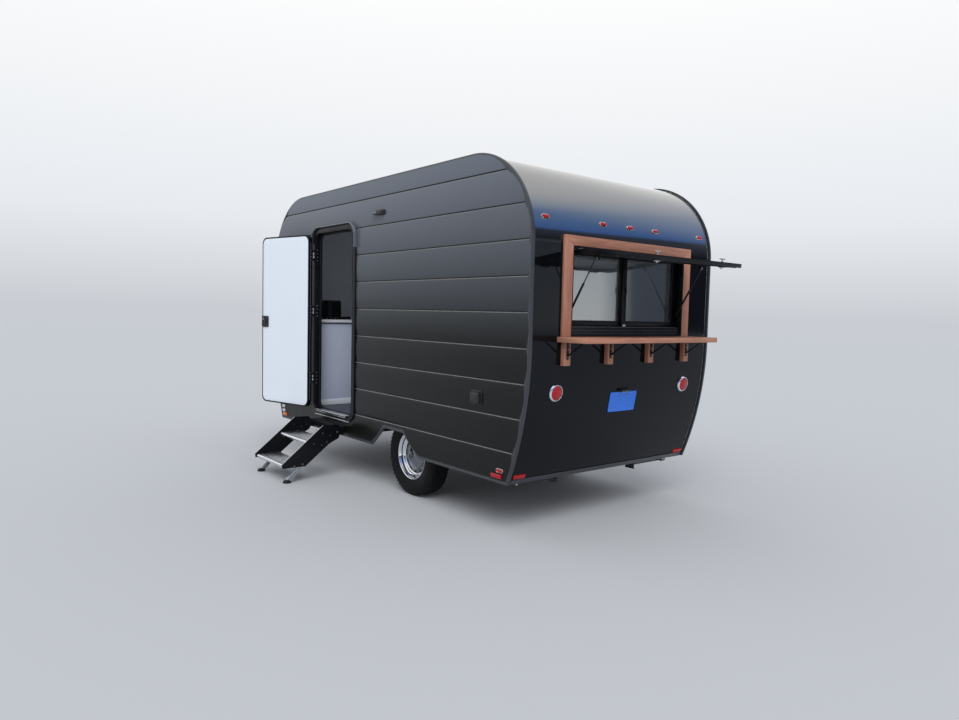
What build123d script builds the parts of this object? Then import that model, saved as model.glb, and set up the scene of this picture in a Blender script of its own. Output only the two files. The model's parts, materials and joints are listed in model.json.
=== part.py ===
from build123d import *
from math import acos, asin, atan2, cos, degrees, radians, sin, sqrt
import os

os.makedirs("parts", exist_ok=True)

# A canned-ham concession trailer. While it is built, x runs forward from the rear face,
# y to the left from the centre plane and z up from the ground. The last lines move every
# piece to the frame of the finished part, whose origin is the centre of the tow ball.

# Body shell
body_length = 4200
body_width = 2070  # over the plank sides, without the edge mouldings
roof_height = 2744
skirt_height = 373  # lower edge of the sides
corner_radius = 670  # upper corners of the side profile
tuck_height = 1380  # both ends curve under the body below this height
tuck_radius = 2630
wall_thickness = 40
skin_inset = 15  # the roof and end skins lie inside the side profile
floor_top = 576
floor_thickness = 46
fit_gap = 0.3  # between pieces that are seated on each other

# Planks on the sides
plank_pitch = 246
lowest_groove = 610
groove_width = 9
groove_depth = 6
plank_crown = 4  # the middle of a plank stands out from its edges

# Edge mouldings and the trims along the lower ends
moulding_width = 32
moulding_proud = 5
end_trim_height = 35
end_trim_proud = 6

# Wheels and axle
wheel_x = 1575
tyre_radius = 344
tyre_width = 205
wheel_inset = 195  # middle of the tyre inside the side face
tyre_shoulder = 28
rim_flange_radius = 206
rim_width = 165
rim_plate = 7
bead_depth = 12
slot_count = 12
slot_ring_radius = 145
slot_length = 46
slot_width = 20
bead_gap = 0.3
disc_face = 33  # outwards from the wheel's middle plane
cap_radius = 42
cap_depth = 52
drum_radius = 110
drum_back = 118
spindle_radius = 20
spindle_length = 150
running_gap = 0.05
axle_tube = 70
axle_lead = 150  # the tube is this far ahead of the wheel centre
arm_thickness = 30
arm_width = 76
arm_inset = 45  # swing arm inside the wheel box

# Wheel boxes, and the cut-out in the skirt measured from the wheel's centre
well_reach = 60  # room round the tyre
well_sheet = 15
arch_foot_ahead = 485
arch_top_ahead = 280
arch_top_behind = 30
arch_foot_behind = 260
arch_top = 552
arch_fillet = 45

# Chassis and tongue
rail_y = 585
rail_width = 50
rail_height = 100
rail_clear = 3  # from the tucked skin
crossmember_height = 75
crossmember_width = 50
outrigger_height = 38
tongue_setback = 200  # the tongue starts behind the front face
tongue_reach = 1150  # front face to ball centre
tongue_nose_half = 16  # the tongue rails' middles at the nose
tongue_plate_length = 260
tongue_plate_thickness = 8

# Coupler
ball_height = 470
ball_socket_radius = 25.7
socket_length = 20
coupler_length = 130
coupler_wall = 14
coupler_crown = 30

# Tongue jack
jack_back = 265  # behind the ball centre
jack_tube_radius = 28.5
jack_leg_radius = 22
jack_foot_size = 130
jack_foot_thickness = 8
jack_top = 960
jack_bottom = 310
jack_overlap = 190  # of the leg inside the tube
jack_flange_radius = 62
crank_radius = 8
crank_reach = 140
crank_grip = 90
slide_gap = 0.4

# Door
door_rear = 2425  # rear edge of the clear opening
door_width = 765
door_height = 1760
door_corner = 75
door_flange = 55
door_flange_proud = 12
jamb_thickness = 12
jamb_depth = 20  # past the inner face of the wall
stop_lip = 14
stop_thickness = 12
drip_cap_reach = 34
drip_cap_thickness = 9
sill_thickness = 2.4
sill_reach = 28  # out from the side face
sill_lip = 18
leaf_gap = 8
leaf_thickness = 40
liner_thickness = 3
liner_proud = 1
liner_margin = 34
door_open_angle = 165.4
hinge_radius = 8
hinge_pin_radius = 4
hinge_barrel = 60
hinge_knuckle = 22
hinge_gap = 0.5
hinge_leaf = 4
hinge_leaf_reach = 34
hinge_strap_reach = 78
hinge_from_floor = 309
hinge_middle = 989
hinge_from_top = 211
latch_rise = 865  # above the floor
latch_plate = (68, 120, 12)  # length, height, thickness
latch_paddle = (40, 40, 16)
inner_latch_plate = (64, 92, 12)
latch_inset = 62  # from the free edge of the leaf

# Step
step_middle = 2850
step_width = 630
step_plate = 5
tread_depth = 230
tread_thickness = 32
tread_skin = 5
tread_rib_pitch = 30
tread_rib_gap = 8
tread_rib_depth = 2
first_tread_top = 362
first_tread_nose = 392  # out from the side face
tread_rise = 192
tread_run = 236
step_edge_rise = 14  # side plates above the line of the noses
step_top = 505
step_tip = 12  # side plates past the lower nose
step_pivot_out = 90
step_pivot_height = 430
step_pin_radius = 6
step_cheek = 8
step_cheek_gap = 2
step_beam_depth = 58
step_beam_rise = 44  # above the pivot
step_beam_drop = 18
step_cheek_drop = 34
step_cheek_reach = 40  # past the pivot
step_cheek_start = 20  # from the side face
step_leg_size = 26
step_leg_top_out = 400
step_foot_out = 582
step_foot_radius = 24
step_foot_height = 22

# Serving window in the rear wall
window_half_width = 645
window_height = 638
window_drop = 4  # its top below the start of the roof's curve
window_frame_sheet = 8
window_frame_depth = 122
window_sill_rise = 66
window_sill_back = 4
sash_depth = 54  # behind the skin
sash_bar = 42
sash_thickness = 20
sash_overlap = 21
sash_clear = 2
glass_thickness = 4

# Wood surround and shelf
board_width = 87
top_board_width = 70
board_thickness = 20
shelf_drop = 2  # its top below the window
shelf_thickness = 38
shelf_depth = 278
shelf_half_length = 765
shelf_block_width = 85
shelf_block_height = 166
shelf_block_thickness = 38
shelf_block_rows = [-692, -237, 237, 692]
bracket_arm = 170
bracket_leg = 120
bracket_width = 24
bracket_sheet = 4
bracket_brace = 6
bracket_brace_width = 16

# Awning hatch, its hinge and its gas struts
hatch_half_width = 604
hatch_length = 530
hatch_thickness = 30
hatch_sheet = 8
hatch_rim = 30
hatch_out = 6  # its inner face outside the rear skin when shut
hatch_axis_drop = 25  # below the top of the window
hatch_axis_out = 31  # outside the rear skin
hatch_open_angle = 84
hatch_pin_radius = 2.5
hatch_barrel_radius = 5
hatch_knuckles = 4
hatch_head = 10  # the panel starts below the hinge axis
hatch_latch_rows = [-380, 380]
hatch_latch_size = (80, 30, 8)  # length, height, thickness
strut_frame_rise = 168  # lower pins above the foot of the window
strut_hatch_reach = 180
strut_radius = 8
strut_rod_radius = 4
strut_pin_radius = 4
strut_eye_radius = 9
strut_depth = 23  # the strut's line behind the rear skin when the hatch is shut
strut_y = 621
strut_tube_start = 5
strut_tube_end = 240
strut_bore_start = 16
strut_rod_foot = 20
strut_rod_end = 4
strut_ear = 6
strut_stud_radius = 6

# Lamps and fittings on the rear
tail_lamp_radius = 44
tail_lamp_lens = 35
tail_lamp_bezel = 12
tail_lamp_dome = 9
tail_lamp_y = 741
tail_lamp_height = 1034
clearance_lamp_rows = [-890, -305, 0, 305, 890]
clearance_lamp_rise = 175  # above the start of the roof's curve
clearance_lamp_size = (72, 34, 16)
plate_height = 930
plate_size = (320, 172, 8)
plate_corner = 12
plate_lamp_size = (110, 26, 30)

# Fittings on the sides
marker_proud = 12
marker_rows = [
    # end, height, distance in from that end of the side, width and height of the lamp, oval or not
    ("rear", 470, 100, 60, 26, True),
    ("rear", 424, 120, 110, 30, False),
    ("front", 510, 90, 44, 24, True),
    ("front", 464, 69, 44, 24, True),
    ("front", 426, 71, 44, 34, False),
]
inlet_x = 556
inlet_height = 963
inlet_size = (130, 110, 30)
inlet_corner = 10
porch_lamp_behind = 438  # the doorway
porch_lamp_rise = 362  # above the start of the roof's curve
porch_lamp_size = (96, 40, 42)
porch_lamp_corner = 16

# Stabilizers
stabilizer_y = 860
stabilizer_height = 345
stabilizer_length = 400
stabilizer_clear = 6
stabilizer_width = 44
stabilizer_web = 4
stabilizer_cheek = 5
stabilizer_mount_half = 34
stabilizer_pin_radius = 6
stabilizer_foot = (90, 65, 6)

# Cabinet and appliance at the front of the cabin
cabinet_ahead = 150  # of the doorway
counter_height = 1476
counter_thickness = 30
counter_nose = 20
cabinet_board = 18
appliance_size = (300, 340, 210)
appliance_back = 220  # behind the face of the cabinet
appliance_side = 300  # left of the centre plane

# Places worked out from the sizes above
side_y = body_width / 2
inner_y = side_y - wall_thickness
plank_edge_y = side_y - plank_crown
rail_top = floor_top - floor_thickness
rail_bottom = rail_top - rail_height
wheel_y = side_y - wheel_inset
ball_x = body_length + tongue_reach
tongue_start = body_length - tongue_setback
nose_x = ball_x - coupler_length
shoulder_height = roof_height - corner_radius
window_top = shoulder_height - window_drop
window_bottom = window_top - window_height
shelf_top = window_bottom - shelf_drop
hatch_axis_height = window_top - hatch_axis_drop
strut_frame_height = window_bottom + strut_frame_rise
door_top = floor_top + door_height
hinge_heights = [floor_top + hinge_from_floor, floor_top + hinge_middle, door_top - hinge_from_top]
latch_height = floor_top + latch_rise
cabinet_face = door_rear + door_width + cabinet_ahead


def block(x0, x1, y0, y1, z0, z1):
    centre = Pos((x0 + x1) / 2, (y0 + y1) / 2, (z0 + z1) / 2)
    return centre * Box(abs(x1 - x0), abs(y1 - y0), abs(z1 - z0))


def rod(start, direction, radius, length):
    seat = Plane(origin=start, z_dir=direction)
    return seat * Cylinder(radius, length, align=(Align.CENTER, Align.CENTER, Align.MIN))


def plate_between(face, y_low, y_high):
    """An outline drawn in x and z, made a plate from y_low to y_high."""
    return extrude(Plane.XZ.offset(-y_high) * face, amount=y_high - y_low)


def polygon(points):
    face = Face(Wire([Line(a, b) for a, b in zip(points, points[1:] + points[:1])]))
    return face if face.normal_at().Z > 0 else -face


def both(piece):
    """A piece on the left and its mirror image on the right."""
    return Compound([piece, mirror(piece, Plane.XZ)])


def arc_point(centre, radius, angle):
    return (centre[0] + radius * cos(radians(angle)), centre[1] + radius * sin(radians(angle)))


def body_profile(inset, bottom):
    """The side profile in x and z, drawn in by an even inset and cut off at the bottom."""
    shoulder = corner_radius - inset
    tuck = tuck_radius - inset
    turn = degrees(acos(sqrt(tuck**2 - (tuck_height - bottom) ** 2) / tuck))
    rear_tuck = (tuck_radius, tuck_height)
    front_tuck = (body_length - tuck_radius, tuck_height)
    rear_shoulder = (corner_radius, shoulder_height)
    front_shoulder = (body_length - corner_radius, shoulder_height)
    rear_foot = arc_point(rear_tuck, tuck, 180 + turn)
    front_foot = arc_point(front_tuck, tuck, -turn)
    edges = [
        Line(rear_foot, front_foot),
        ThreePointArc(front_foot, arc_point(front_tuck, tuck, -turn / 2), arc_point(front_tuck, tuck, 0)),
        Line(arc_point(front_tuck, tuck, 0), arc_point(front_shoulder, shoulder, 0)),
        ThreePointArc(
            arc_point(front_shoulder, shoulder, 0),
            arc_point(front_shoulder, shoulder, 45),
            arc_point(front_shoulder, shoulder, 90),
        ),
        Line(arc_point(front_shoulder, shoulder, 90), arc_point(rear_shoulder, shoulder, 90)),
        ThreePointArc(
            arc_point(rear_shoulder, shoulder, 90),
            arc_point(rear_shoulder, shoulder, 135),
            arc_point(rear_shoulder, shoulder, 180),
        ),
        Line(arc_point(rear_shoulder, shoulder, 180), arc_point(rear_tuck, tuck, 180)),
        ThreePointArc(arc_point(rear_tuck, tuck, 180), arc_point(rear_tuck, tuck, 180 + turn / 2), rear_foot),
    ]
    return Face(Wire(edges))


def tuck_x(height, inset):
    """Where the tucked rear end lies at a height."""
    radius = tuck_radius - inset
    return tuck_radius - sqrt(radius**2 - max(tuck_height - height, 0) ** 2)


def rear_seat(height):
    """A plane on the rear skin: its x to the right, its y up the skin, its z outwards."""
    if height > shoulder_height:
        radius = corner_radius - skin_inset
        rise = height - shoulder_height
        lean = degrees(atan2(rise, sqrt(radius**2 - rise**2)))
        x = corner_radius - radius * cos(radians(lean))
    else:
        radius = tuck_radius - skin_inset
        lean = -degrees(asin(max(tuck_height - height, 0) / radius))
        x = tuck_x(height, skin_inset)
    out = (-cos(radians(lean)), 0, sin(radians(lean)))
    return Plane(origin=(x, 0, height), x_dir=(0, -1, 0), z_dir=out)


# Side walls

def arch_outline():
    """The wheel cut-out, run on below the skirt so that it cuts clean."""
    overrun = 60
    foot = skirt_height - overrun
    slope = overrun / (arch_top - skirt_height)
    points = [
        (wheel_x - arch_foot_behind - slope * (arch_foot_behind - arch_top_behind), foot),
        (wheel_x + arch_foot_ahead + slope * (arch_foot_ahead - arch_top_ahead), foot),
        (wheel_x + arch_top_ahead, arch_top),
        (wheel_x - arch_top_behind, arch_top),
    ]
    face = polygon(points)
    tops = [v for v in face.vertices() if v.Y > arch_top - 1]
    return fillet(tops, arch_fillet)


def side_outline():
    return body_profile(0, skirt_height) - arch_outline()


def door_outline(grow):
    wide = door_width + 2 * grow
    tall = door_height + 2 * grow
    centre = (door_rear + door_width / 2, floor_top + door_height / 2)
    return Pos(*centre) * RectangleRounded(wide, tall, door_corner + grow)


def plank_section():
    """The planks' outer faces, each a shallow arc between two grooves, on a flat back."""
    low = lowest_groove - plank_pitch
    count = int((roof_height - low) / plank_pitch) + 1
    half = groove_width / 2
    back = [(inner_y + 1, low + half), (inner_y + 1, low + count * plank_pitch - half)]
    edges = [Line((plank_edge_y, low + half), back[0]), Line(*back)]
    edges.append(Line(back[1], (plank_edge_y, low + count * plank_pitch - half)))
    for row in range(count):
        foot = (plank_edge_y, low + row * plank_pitch + half)
        head = (plank_edge_y, low + (row + 1) * plank_pitch - half)
        edges.append(ThreePointArc(foot, (side_y, (foot[1] + head[1]) / 2), head))
        if row < count - 1:
            valley = (plank_edge_y - groove_depth, head[1] + half)
            edges += [Line(head, valley), Line(valley, (plank_edge_y, head[1] + groove_width))]
    return Face(Wire(edges))


def side_wall(left):
    """The planks inside the edge moulding, on a wall that ends flat under it."""
    field = offset(side_outline(), amount=-moulding_width - fit_gap)
    planks = extrude(Plane.YZ * plank_section(), amount=body_length, dir=(1, 0, 0))
    wall = plate_between(side_outline(), inner_y, plank_edge_y - groove_depth)
    wall += planks & plate_between(field, inner_y, side_y + 1)
    if left:
        return wall - plate_between(door_outline(jamb_thickness), inner_y - 1, side_y + 1)
    return mirror(wall, Plane.XZ)


def edge_moulding(left):
    outline = side_outline()
    inside = offset(outline, amount=-moulding_width)
    strip = plate_between(outline - inside, plank_edge_y - groove_depth, side_y + moulding_proud)
    return strip if left else mirror(strip, Plane.XZ)


# Roof and end skins, between the side walls

def skin_band():
    outside = body_profile(skin_inset, skirt_height)
    inside = body_profile(skin_inset + wall_thickness, skirt_height - 10)
    return plate_between(outside - inside, -inner_y, inner_y)


def rear_wall(band):
    lower = band & block(-10, body_length / 2, -inner_y, inner_y, 0, shoulder_height)
    depth = skin_inset + 2 * wall_thickness
    opening = block(-10, depth, -window_half_width, window_half_width, window_bottom, window_top)
    return lower - opening


def front_wall(band):
    return band & block(body_length / 2, body_length + 10, -inner_y, inner_y, rail_top, shoulder_height)


def roof(band):
    return band & block(-10, body_length + 10, -inner_y, inner_y, shoulder_height, roof_height + 10)


def end_trims():
    """A strip along the lower edge of each end skin."""
    outside = body_profile(skin_inset - end_trim_proud, skirt_height)
    inside = body_profile(skin_inset, skirt_height - 10)
    band = plate_between(outside - inside, -inner_y, inner_y)
    rear = block(-10, body_length / 2, -inner_y, inner_y, skirt_height, skirt_height + end_trim_height)
    front = block(body_length / 2, body_length + 10, -inner_y, inner_y, rail_top, rail_top + end_trim_height)
    return Compound([band & rear, band & front])


# Floor and wheel boxes

well_rear = wheel_x - tyre_radius - well_reach
well_front = wheel_x + tyre_radius + well_reach
well_inner_y = wheel_y - tyre_width / 2 - well_reach / 2
well_top = 2 * tyre_radius + well_reach


def floor():
    inside = body_profile(skin_inset + wall_thickness, rail_top)
    board = plate_between(inside, -inner_y, inner_y)
    board &= block(-10, body_length + 10, -inner_y, inner_y, rail_top, floor_top)
    cut = block(well_rear, well_front, well_inner_y, inner_y + 1, 0, floor_top + 1)
    return board - cut - mirror(cut, Plane.XZ)


def wheel_wells():
    box = block(well_rear, well_front, well_inner_y, inner_y, rail_top, well_top)
    room = block(
        well_rear + well_sheet,
        well_front - well_sheet,
        well_inner_y + well_sheet,
        inner_y + 1,
        0,
        well_top - well_sheet,
    )
    return both(box - room)


# Chassis

def rails():
    start = tuck_x(rail_bottom, skin_inset + wall_thickness) + rail_clear
    low = rail_y - rail_width / 2
    return both(block(start, tongue_start, low, low + rail_width, rail_bottom, rail_top))


def crossmembers():
    """Members between the rails, with an outrigger in line with each on either side."""
    inner = rail_y - rail_width / 2
    outer = rail_y + rail_width / 2
    half = crossmember_width / 2
    rear = tuck_x(rail_bottom, skin_inset + wall_thickness) + 2 * half + crossmember_height / 3
    front = tongue_start - 2 * crossmember_width
    behind_wheels = well_rear - crossmember_width
    ahead_of_wheels = well_front + crossmember_width
    members = []
    for x in (rear, behind_wheels, ahead_of_wheels, (ahead_of_wheels + front) / 2, front):
        members.append(block(x - half, x + half, -inner, inner, rail_top - crossmember_height, rail_top))
        side = block(x - half, x + half, outer, inner_y, rail_top - outrigger_height, rail_top)
        members += [side, mirror(side, Plane.XZ)]
    return Compound(members)


def tongue():
    """Two rails that run together at the nose, with a plate on top that carries the jack."""
    length = nose_x - tongue_start
    spread = rail_y - tongue_nose_half
    half = rail_width / 2 * sqrt(length**2 + spread**2) / length
    outline = [
        (tongue_start, rail_y - half),
        (tongue_start, rail_y + half),
        (nose_x, tongue_nose_half + half),
        (nose_x, tongue_nose_half - half),
    ]
    rail = Pos(0, 0, rail_bottom) * extrude(polygon(outline), amount=rail_height)
    back_x = nose_x - tongue_plate_length
    back_y = tongue_nose_half + half + spread * tongue_plate_length / length
    nose_y = tongue_nose_half + half
    top = polygon([(back_x, -back_y), (nose_x, -nose_y), (nose_x, nose_y), (back_x, back_y)])
    plate = Pos(0, 0, rail_top) * extrude(top, amount=tongue_plate_thickness)
    plate -= rod((ball_x - jack_back, 0, rail_bottom), (0, 0, 1), jack_tube_radius + fit_gap, 2 * rail_height)
    return rail + mirror(rail, Plane.XZ) + plate


def coupler():
    """A forged neck with the ball socket under its nose and a latch on top."""
    low = ball_height - socket_length
    top = ball_height + coupler_crown + coupler_wall
    back = 1.5 * (ball_socket_radius + coupler_wall)
    nose = ball_socket_radius + coupler_wall
    neck = [(nose_x + fit_gap, -back), (ball_x, -nose), (ball_x, nose), (nose_x + fit_gap, back)]
    body = Pos(0, 0, low) * extrude(polygon(neck), amount=top - low)
    body += rod((ball_x, 0, low), (0, 0, 1), nose, top - low)
    body -= rod((ball_x, 0, low), (0, 0, 1), ball_socket_radius, socket_length)
    dome = Cone(ball_socket_radius, ball_socket_radius / 2, coupler_crown / 2,
                align=(Align.CENTER, Align.CENTER, Align.MIN))
    body -= Pos(ball_x, 0, ball_height) * dome
    latch = (nose_x + coupler_length / 4, ball_x - coupler_length / 6)
    half = coupler_wall / 2
    return body + block(*latch, -half, half, top, top + 2 * coupler_wall)


def tongue_jack():
    x = ball_x - jack_back
    deck = rail_top + tongue_plate_thickness
    tube = rod((x, 0, jack_bottom), (0, 0, 1), jack_tube_radius, jack_top - jack_bottom)
    room = jack_top - jack_bottom - 2 * jack_leg_radius
    tube -= rod((x, 0, jack_bottom), (0, 0, 1), jack_leg_radius + slide_gap, room)
    flange = rod((x, 0, deck), (0, 0, 1), jack_flange_radius, tongue_plate_thickness)
    flange -= rod((x, 0, deck), (0, 0, 1), jack_tube_radius - 2, tongue_plate_thickness)
    crank_z = jack_top + 2 * crank_radius
    crank = rod((x, 0, jack_top), (0, 0, 1), crank_radius, 3 * crank_radius)
    crank += rod((x, 0, crank_z), (1, 0, 0), crank_radius, crank_reach)
    crank += rod((x + crank_reach - crank_radius, 0, crank_z), (0, 0, 1), crank_radius, crank_grip)
    return tube + flange + crank


def jack_leg():
    x = ball_x - jack_back
    top = jack_bottom + jack_overlap
    leg = rod((x, 0, jack_foot_thickness), (0, 0, 1), jack_leg_radius, top - jack_foot_thickness)
    half = jack_foot_size / 2
    return leg + block(x - half, x + half, -half, half, 0, jack_foot_thickness)


# Axle and wheels

def axle():
    """A square tube with a swing arm at each end that carries the wheel's spindle."""
    half = axle_tube / 2
    tube_x = wheel_x + axle_lead
    tube_z = rail_bottom - half
    arm_in = well_inner_y - arm_inset
    tube = block(tube_x - half, tube_x + half, -arm_in, arm_in, tube_z - half, tube_z + half)
    reach = sqrt(axle_lead**2 + (tube_z - tyre_radius) ** 2)
    pitch = degrees(atan2(tube_z - tyre_radius, axle_lead))
    slot = SlotCenterToCenter(reach, arm_width)
    middle = ((tube_x + wheel_x) / 2, (tube_z + tyre_radius) / 2)
    arm = plate_between(Pos(*middle) * Rot(0, 0, pitch) * slot, arm_in, arm_in + arm_thickness)
    spindle_start = (wheel_x, arm_in + arm_thickness, tyre_radius)
    side = arm + rod(spindle_start, (0, 1, 0), spindle_radius, spindle_length)
    return tube + side + mirror(side, Plane.XZ)


def ring_section(points):
    """A section drawn as distance from the wheel's middle plane and radius, spun about the axle."""
    face = Plane(origin=(0, 0, 0), x_dir=(0, 1, 0), z_dir=(1, 0, 0)) * polygon(points)
    return revolve(face, Axis.Y, 360)


def tyre():
    """Bead, sidewalls that bulge to the full width, and a flat tread with sloped shoulders."""
    bead = rim_flange_radius - bead_depth
    half = tyre_width / 2
    widest = (rim_flange_radius + tyre_radius) / 2
    flange_in = rim_width / 2 - rim_plate - 1 - 2 * bead_gap
    slope = (half - flange_in) / (widest - rim_flange_radius)
    side = [
        # distance outwards from the wheel's middle plane, radius
        (flange_in - slope * bead_depth, bead),
        (half, widest),
        (half - tyre_shoulder, tyre_radius),
    ]
    section = [(-out, radius) for out, radius in side] + side[::-1]
    return Pos(wheel_x, wheel_y, tyre_radius) * ring_section(section)


def wheel():
    """Rim, slotted disc dished to the hub, brake drum behind it and hub cap, in one turned section."""
    half = rim_width / 2
    seat = half - rim_plate - 1 - bead_gap
    bead = rim_flange_radius - bead_depth - bead_gap
    barrel = bead - rim_plate
    cap_face = cap_depth + spindle_radius / 2
    section = [
        # distance outwards from the wheel's middle plane, radius
        (-half, rim_flange_radius),
        (-half, barrel),
        (disc_face - rim_plate, barrel),
        (disc_face - rim_plate, drum_radius),
        (-drum_back, drum_radius),
        (-drum_back, spindle_radius + running_gap),
        (cap_depth, spindle_radius + running_gap),
        (cap_depth, 0),
        (cap_face, 0),
        (cap_face, cap_radius * 2 / 3),
        (cap_depth, cap_radius),
        (disc_face - rim_plate / 2, cap_radius),
        (disc_face, drum_radius),
        (disc_face, barrel),
        (half, barrel),
        (half, rim_flange_radius),
        (seat, rim_flange_radius),
        (seat, bead),
        (-seat, bead),
        (-seat, rim_flange_radius),
    ]
    turned = ring_section(section)
    cutter = Rot(90, 0, 0) * extrude(Rectangle(slot_length, slot_width), amount=rim_plate, both=True)
    for step in range(slot_count):
        turned -= Rot(0, 360 / slot_count * step, 0) * Pos(0, disc_face, slot_ring_radius) * cutter
    return Pos(wheel_x, wheel_y, tyre_radius) * turned


# Entry door

flange_y = side_y + door_flange_proud
hinge_x = door_rear + door_width + 10
hinge_y = flange_y + hinge_radius
leaf_out_y = flange_y
leaf_in_y = leaf_out_y - leaf_thickness


def door_frame():
    """Flange, jamb and stop in one frame, with a drip cap over it and the fixed hinge barrels."""
    back = inner_y - jamb_depth
    flange = plate_between(door_outline(door_flange) - door_outline(0), side_y, flange_y)
    jamb = plate_between(door_outline(jamb_thickness) - door_outline(0), back, side_y)
    stop = plate_between(door_outline(jamb_thickness) - door_outline(-stop_lip), back, back + stop_thickness)
    frame = flange + jamb + stop
    side_x = door_flange + step_plate
    frame -= block(
        door_rear - side_x,
        door_rear + door_width + side_x,
        back - 1,
        inner_y + fit_gap,
        0,
        floor_top + fit_gap,
    )
    cap_z = door_top + door_flange
    frame += block(
        door_rear - side_x,
        door_rear + door_width + side_x,
        side_y,
        side_y + drip_cap_reach,
        cap_z,
        cap_z + drip_cap_thickness,
    )
    for height in hinge_heights:
        low = height - hinge_barrel / 2
        frame += rod((hinge_x, hinge_y, low), (0, 0, 1), hinge_radius, hinge_barrel)
        leaf_end = hinge_x + hinge_leaf_reach
        frame += block(hinge_x, leaf_end, flange_y, flange_y + hinge_leaf, low, low + hinge_barrel)
        frame -= rod((hinge_x, hinge_y, low - 1), (0, 0, 1), hinge_pin_radius + running_gap, hinge_barrel + 2)
    return frame


def door_sill():
    """A metal sill from the frame's stop to past the side, with a lip turned down."""
    x0 = door_rear + door_corner
    x1 = door_rear + door_width - door_corner
    low = floor_top + fit_gap
    inside = inner_y - jamb_depth + stop_thickness + fit_gap
    outside = side_y + sill_reach
    tread = block(x0, x1, inside, outside, low, low + sill_thickness)
    return tread + block(x0, x1, outside - sill_thickness, outside, low - sill_lip, low)


def open_door(piece):
    swing = Axis((hinge_x, hinge_y, 0), (0, 0, 1))
    return piece.rotate(swing, -door_open_angle)


def door_leaf():
    """The leaf, recessed for its liner, with a knuckle above and below each fixed barrel."""
    panel = plate_between(door_outline(-leaf_gap), leaf_in_y, leaf_out_y)
    recess = plate_between(door_outline(-leaf_gap - liner_margin), leaf_in_y - 1, leaf_in_y + liner_thickness)
    leaf = panel - recess
    half = hinge_barrel / 2 + hinge_gap
    for height in hinge_heights:
        for low in (height - half - hinge_knuckle, height + half):
            leaf += rod((hinge_x, hinge_y, low), (0, 0, 1), hinge_radius, hinge_knuckle)
            strap = hinge_x - hinge_strap_reach
            leaf += block(strap, hinge_x, leaf_out_y, leaf_out_y + hinge_leaf, low, low + hinge_knuckle)
        low = height - hinge_barrel / 2 - hinge_knuckle
        leaf += rod((hinge_x, hinge_y, low), (0, 0, 1), hinge_pin_radius, hinge_barrel + 2 * hinge_knuckle)
    return open_door(leaf)


def door_liner():
    outline = door_outline(-leaf_gap - liner_margin - fit_gap)
    return open_door(plate_between(outline, leaf_in_y - liner_proud, leaf_in_y + liner_thickness))


def door_latch():
    """Outer escutcheon and paddle near the free edge of the leaf."""
    length, tall, thick = latch_plate
    x = door_rear + leaf_gap + latch_inset
    plate = block(x - length / 2, x + length / 2, leaf_out_y, leaf_out_y + thick,
                  latch_height - tall / 2, latch_height + tall / 2)
    length, tall, deep = latch_paddle
    paddle = block(x - length / 2, x + length / 2, leaf_out_y + thick, leaf_out_y + thick + deep,
                   latch_height - tall / 2, latch_height + tall / 2)
    return open_door(plate + paddle)


def door_inner_latch():
    length, tall, thick = inner_latch_plate
    x = door_rear + leaf_gap + latch_inset - thick
    face = leaf_in_y - liner_proud
    return open_door(block(x - length / 2, x + length / 2, face - thick, face,
                           latch_height - tall / 2, latch_height + tall / 2))


# Fold-out step

step_pivot_y = side_y + step_pivot_out
step_rear_x = step_middle - step_width / 2
step_front_x = step_middle + step_width / 2
tread_rows = [(first_tread_nose + row * tread_run, first_tread_top - row * tread_rise) for row in range(2)]


def step_side():
    """Side plate as the distance out from the side face and the height, along the line of the noses."""
    edge = first_tread_top + step_edge_rise
    slope = tread_rise / tread_run
    tip = tread_rows[1][0] + step_tip
    foot = tread_rows[1][1] - tread_thickness - 2
    hanger = step_pivot_out - 4 * step_pin_radius
    outline = [
        (hanger, step_pivot_height + 48),
        (hanger + 18, step_top - 5),
        (first_tread_nose - (step_top - edge) / slope, step_top),
        (tip, edge - (tip - first_tread_nose) * slope),
        (tip - step_tip / 2, foot),
        (tip - tread_depth, foot),
        (first_tread_nose - tread_depth + step_tip, first_tread_top - tread_thickness - 8),
        (hanger + 14, step_pivot_height - 64),
        (hanger, step_pivot_height - 50),
    ]
    return polygon(outline)


def step_plates():
    face = Plane.YZ * (Pos(side_y, 0) * step_side())
    pin_room = step_pin_radius + running_gap
    plate = extrude(face, amount=step_plate)
    plate -= rod((-1, step_pivot_y, step_pivot_height), (1, 0, 0), pin_room, step_plate + 2)
    return Compound([Pos(step_rear_x, 0, 0) * plate, Pos(step_front_x - step_plate, 0, 0) * plate])


def step_treads():
    """Folded treads, open below, with a ribbed top and a rounded nose."""
    x0 = step_rear_x + step_plate
    x1 = step_front_x - step_plate
    treads = []
    for nose, top in tread_rows:
        y1 = side_y + nose
        y0 = y1 - tread_depth
        board = block(x0, x1, y0, y1, top - tread_thickness, top)
        noses = board.edges().filter_by(Axis.X).group_by(Axis.Y)[-1]
        board = fillet(noses, tread_thickness / 2 - 1)
        room = block(x0 + tread_skin, x1 - tread_skin, y0 + tread_skin, y1 - tread_thickness / 2,
                     top - tread_thickness, top - tread_skin)
        board -= room
        for y in range(int(y0 + tread_rib_pitch / 2), int(y1 - tread_thickness), tread_rib_pitch):
            board -= block(x0 + 1, x1 - 1, y, y + tread_rib_gap, top - tread_rib_depth, top)
        treads.append(board)
    return Compound(treads)


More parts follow.
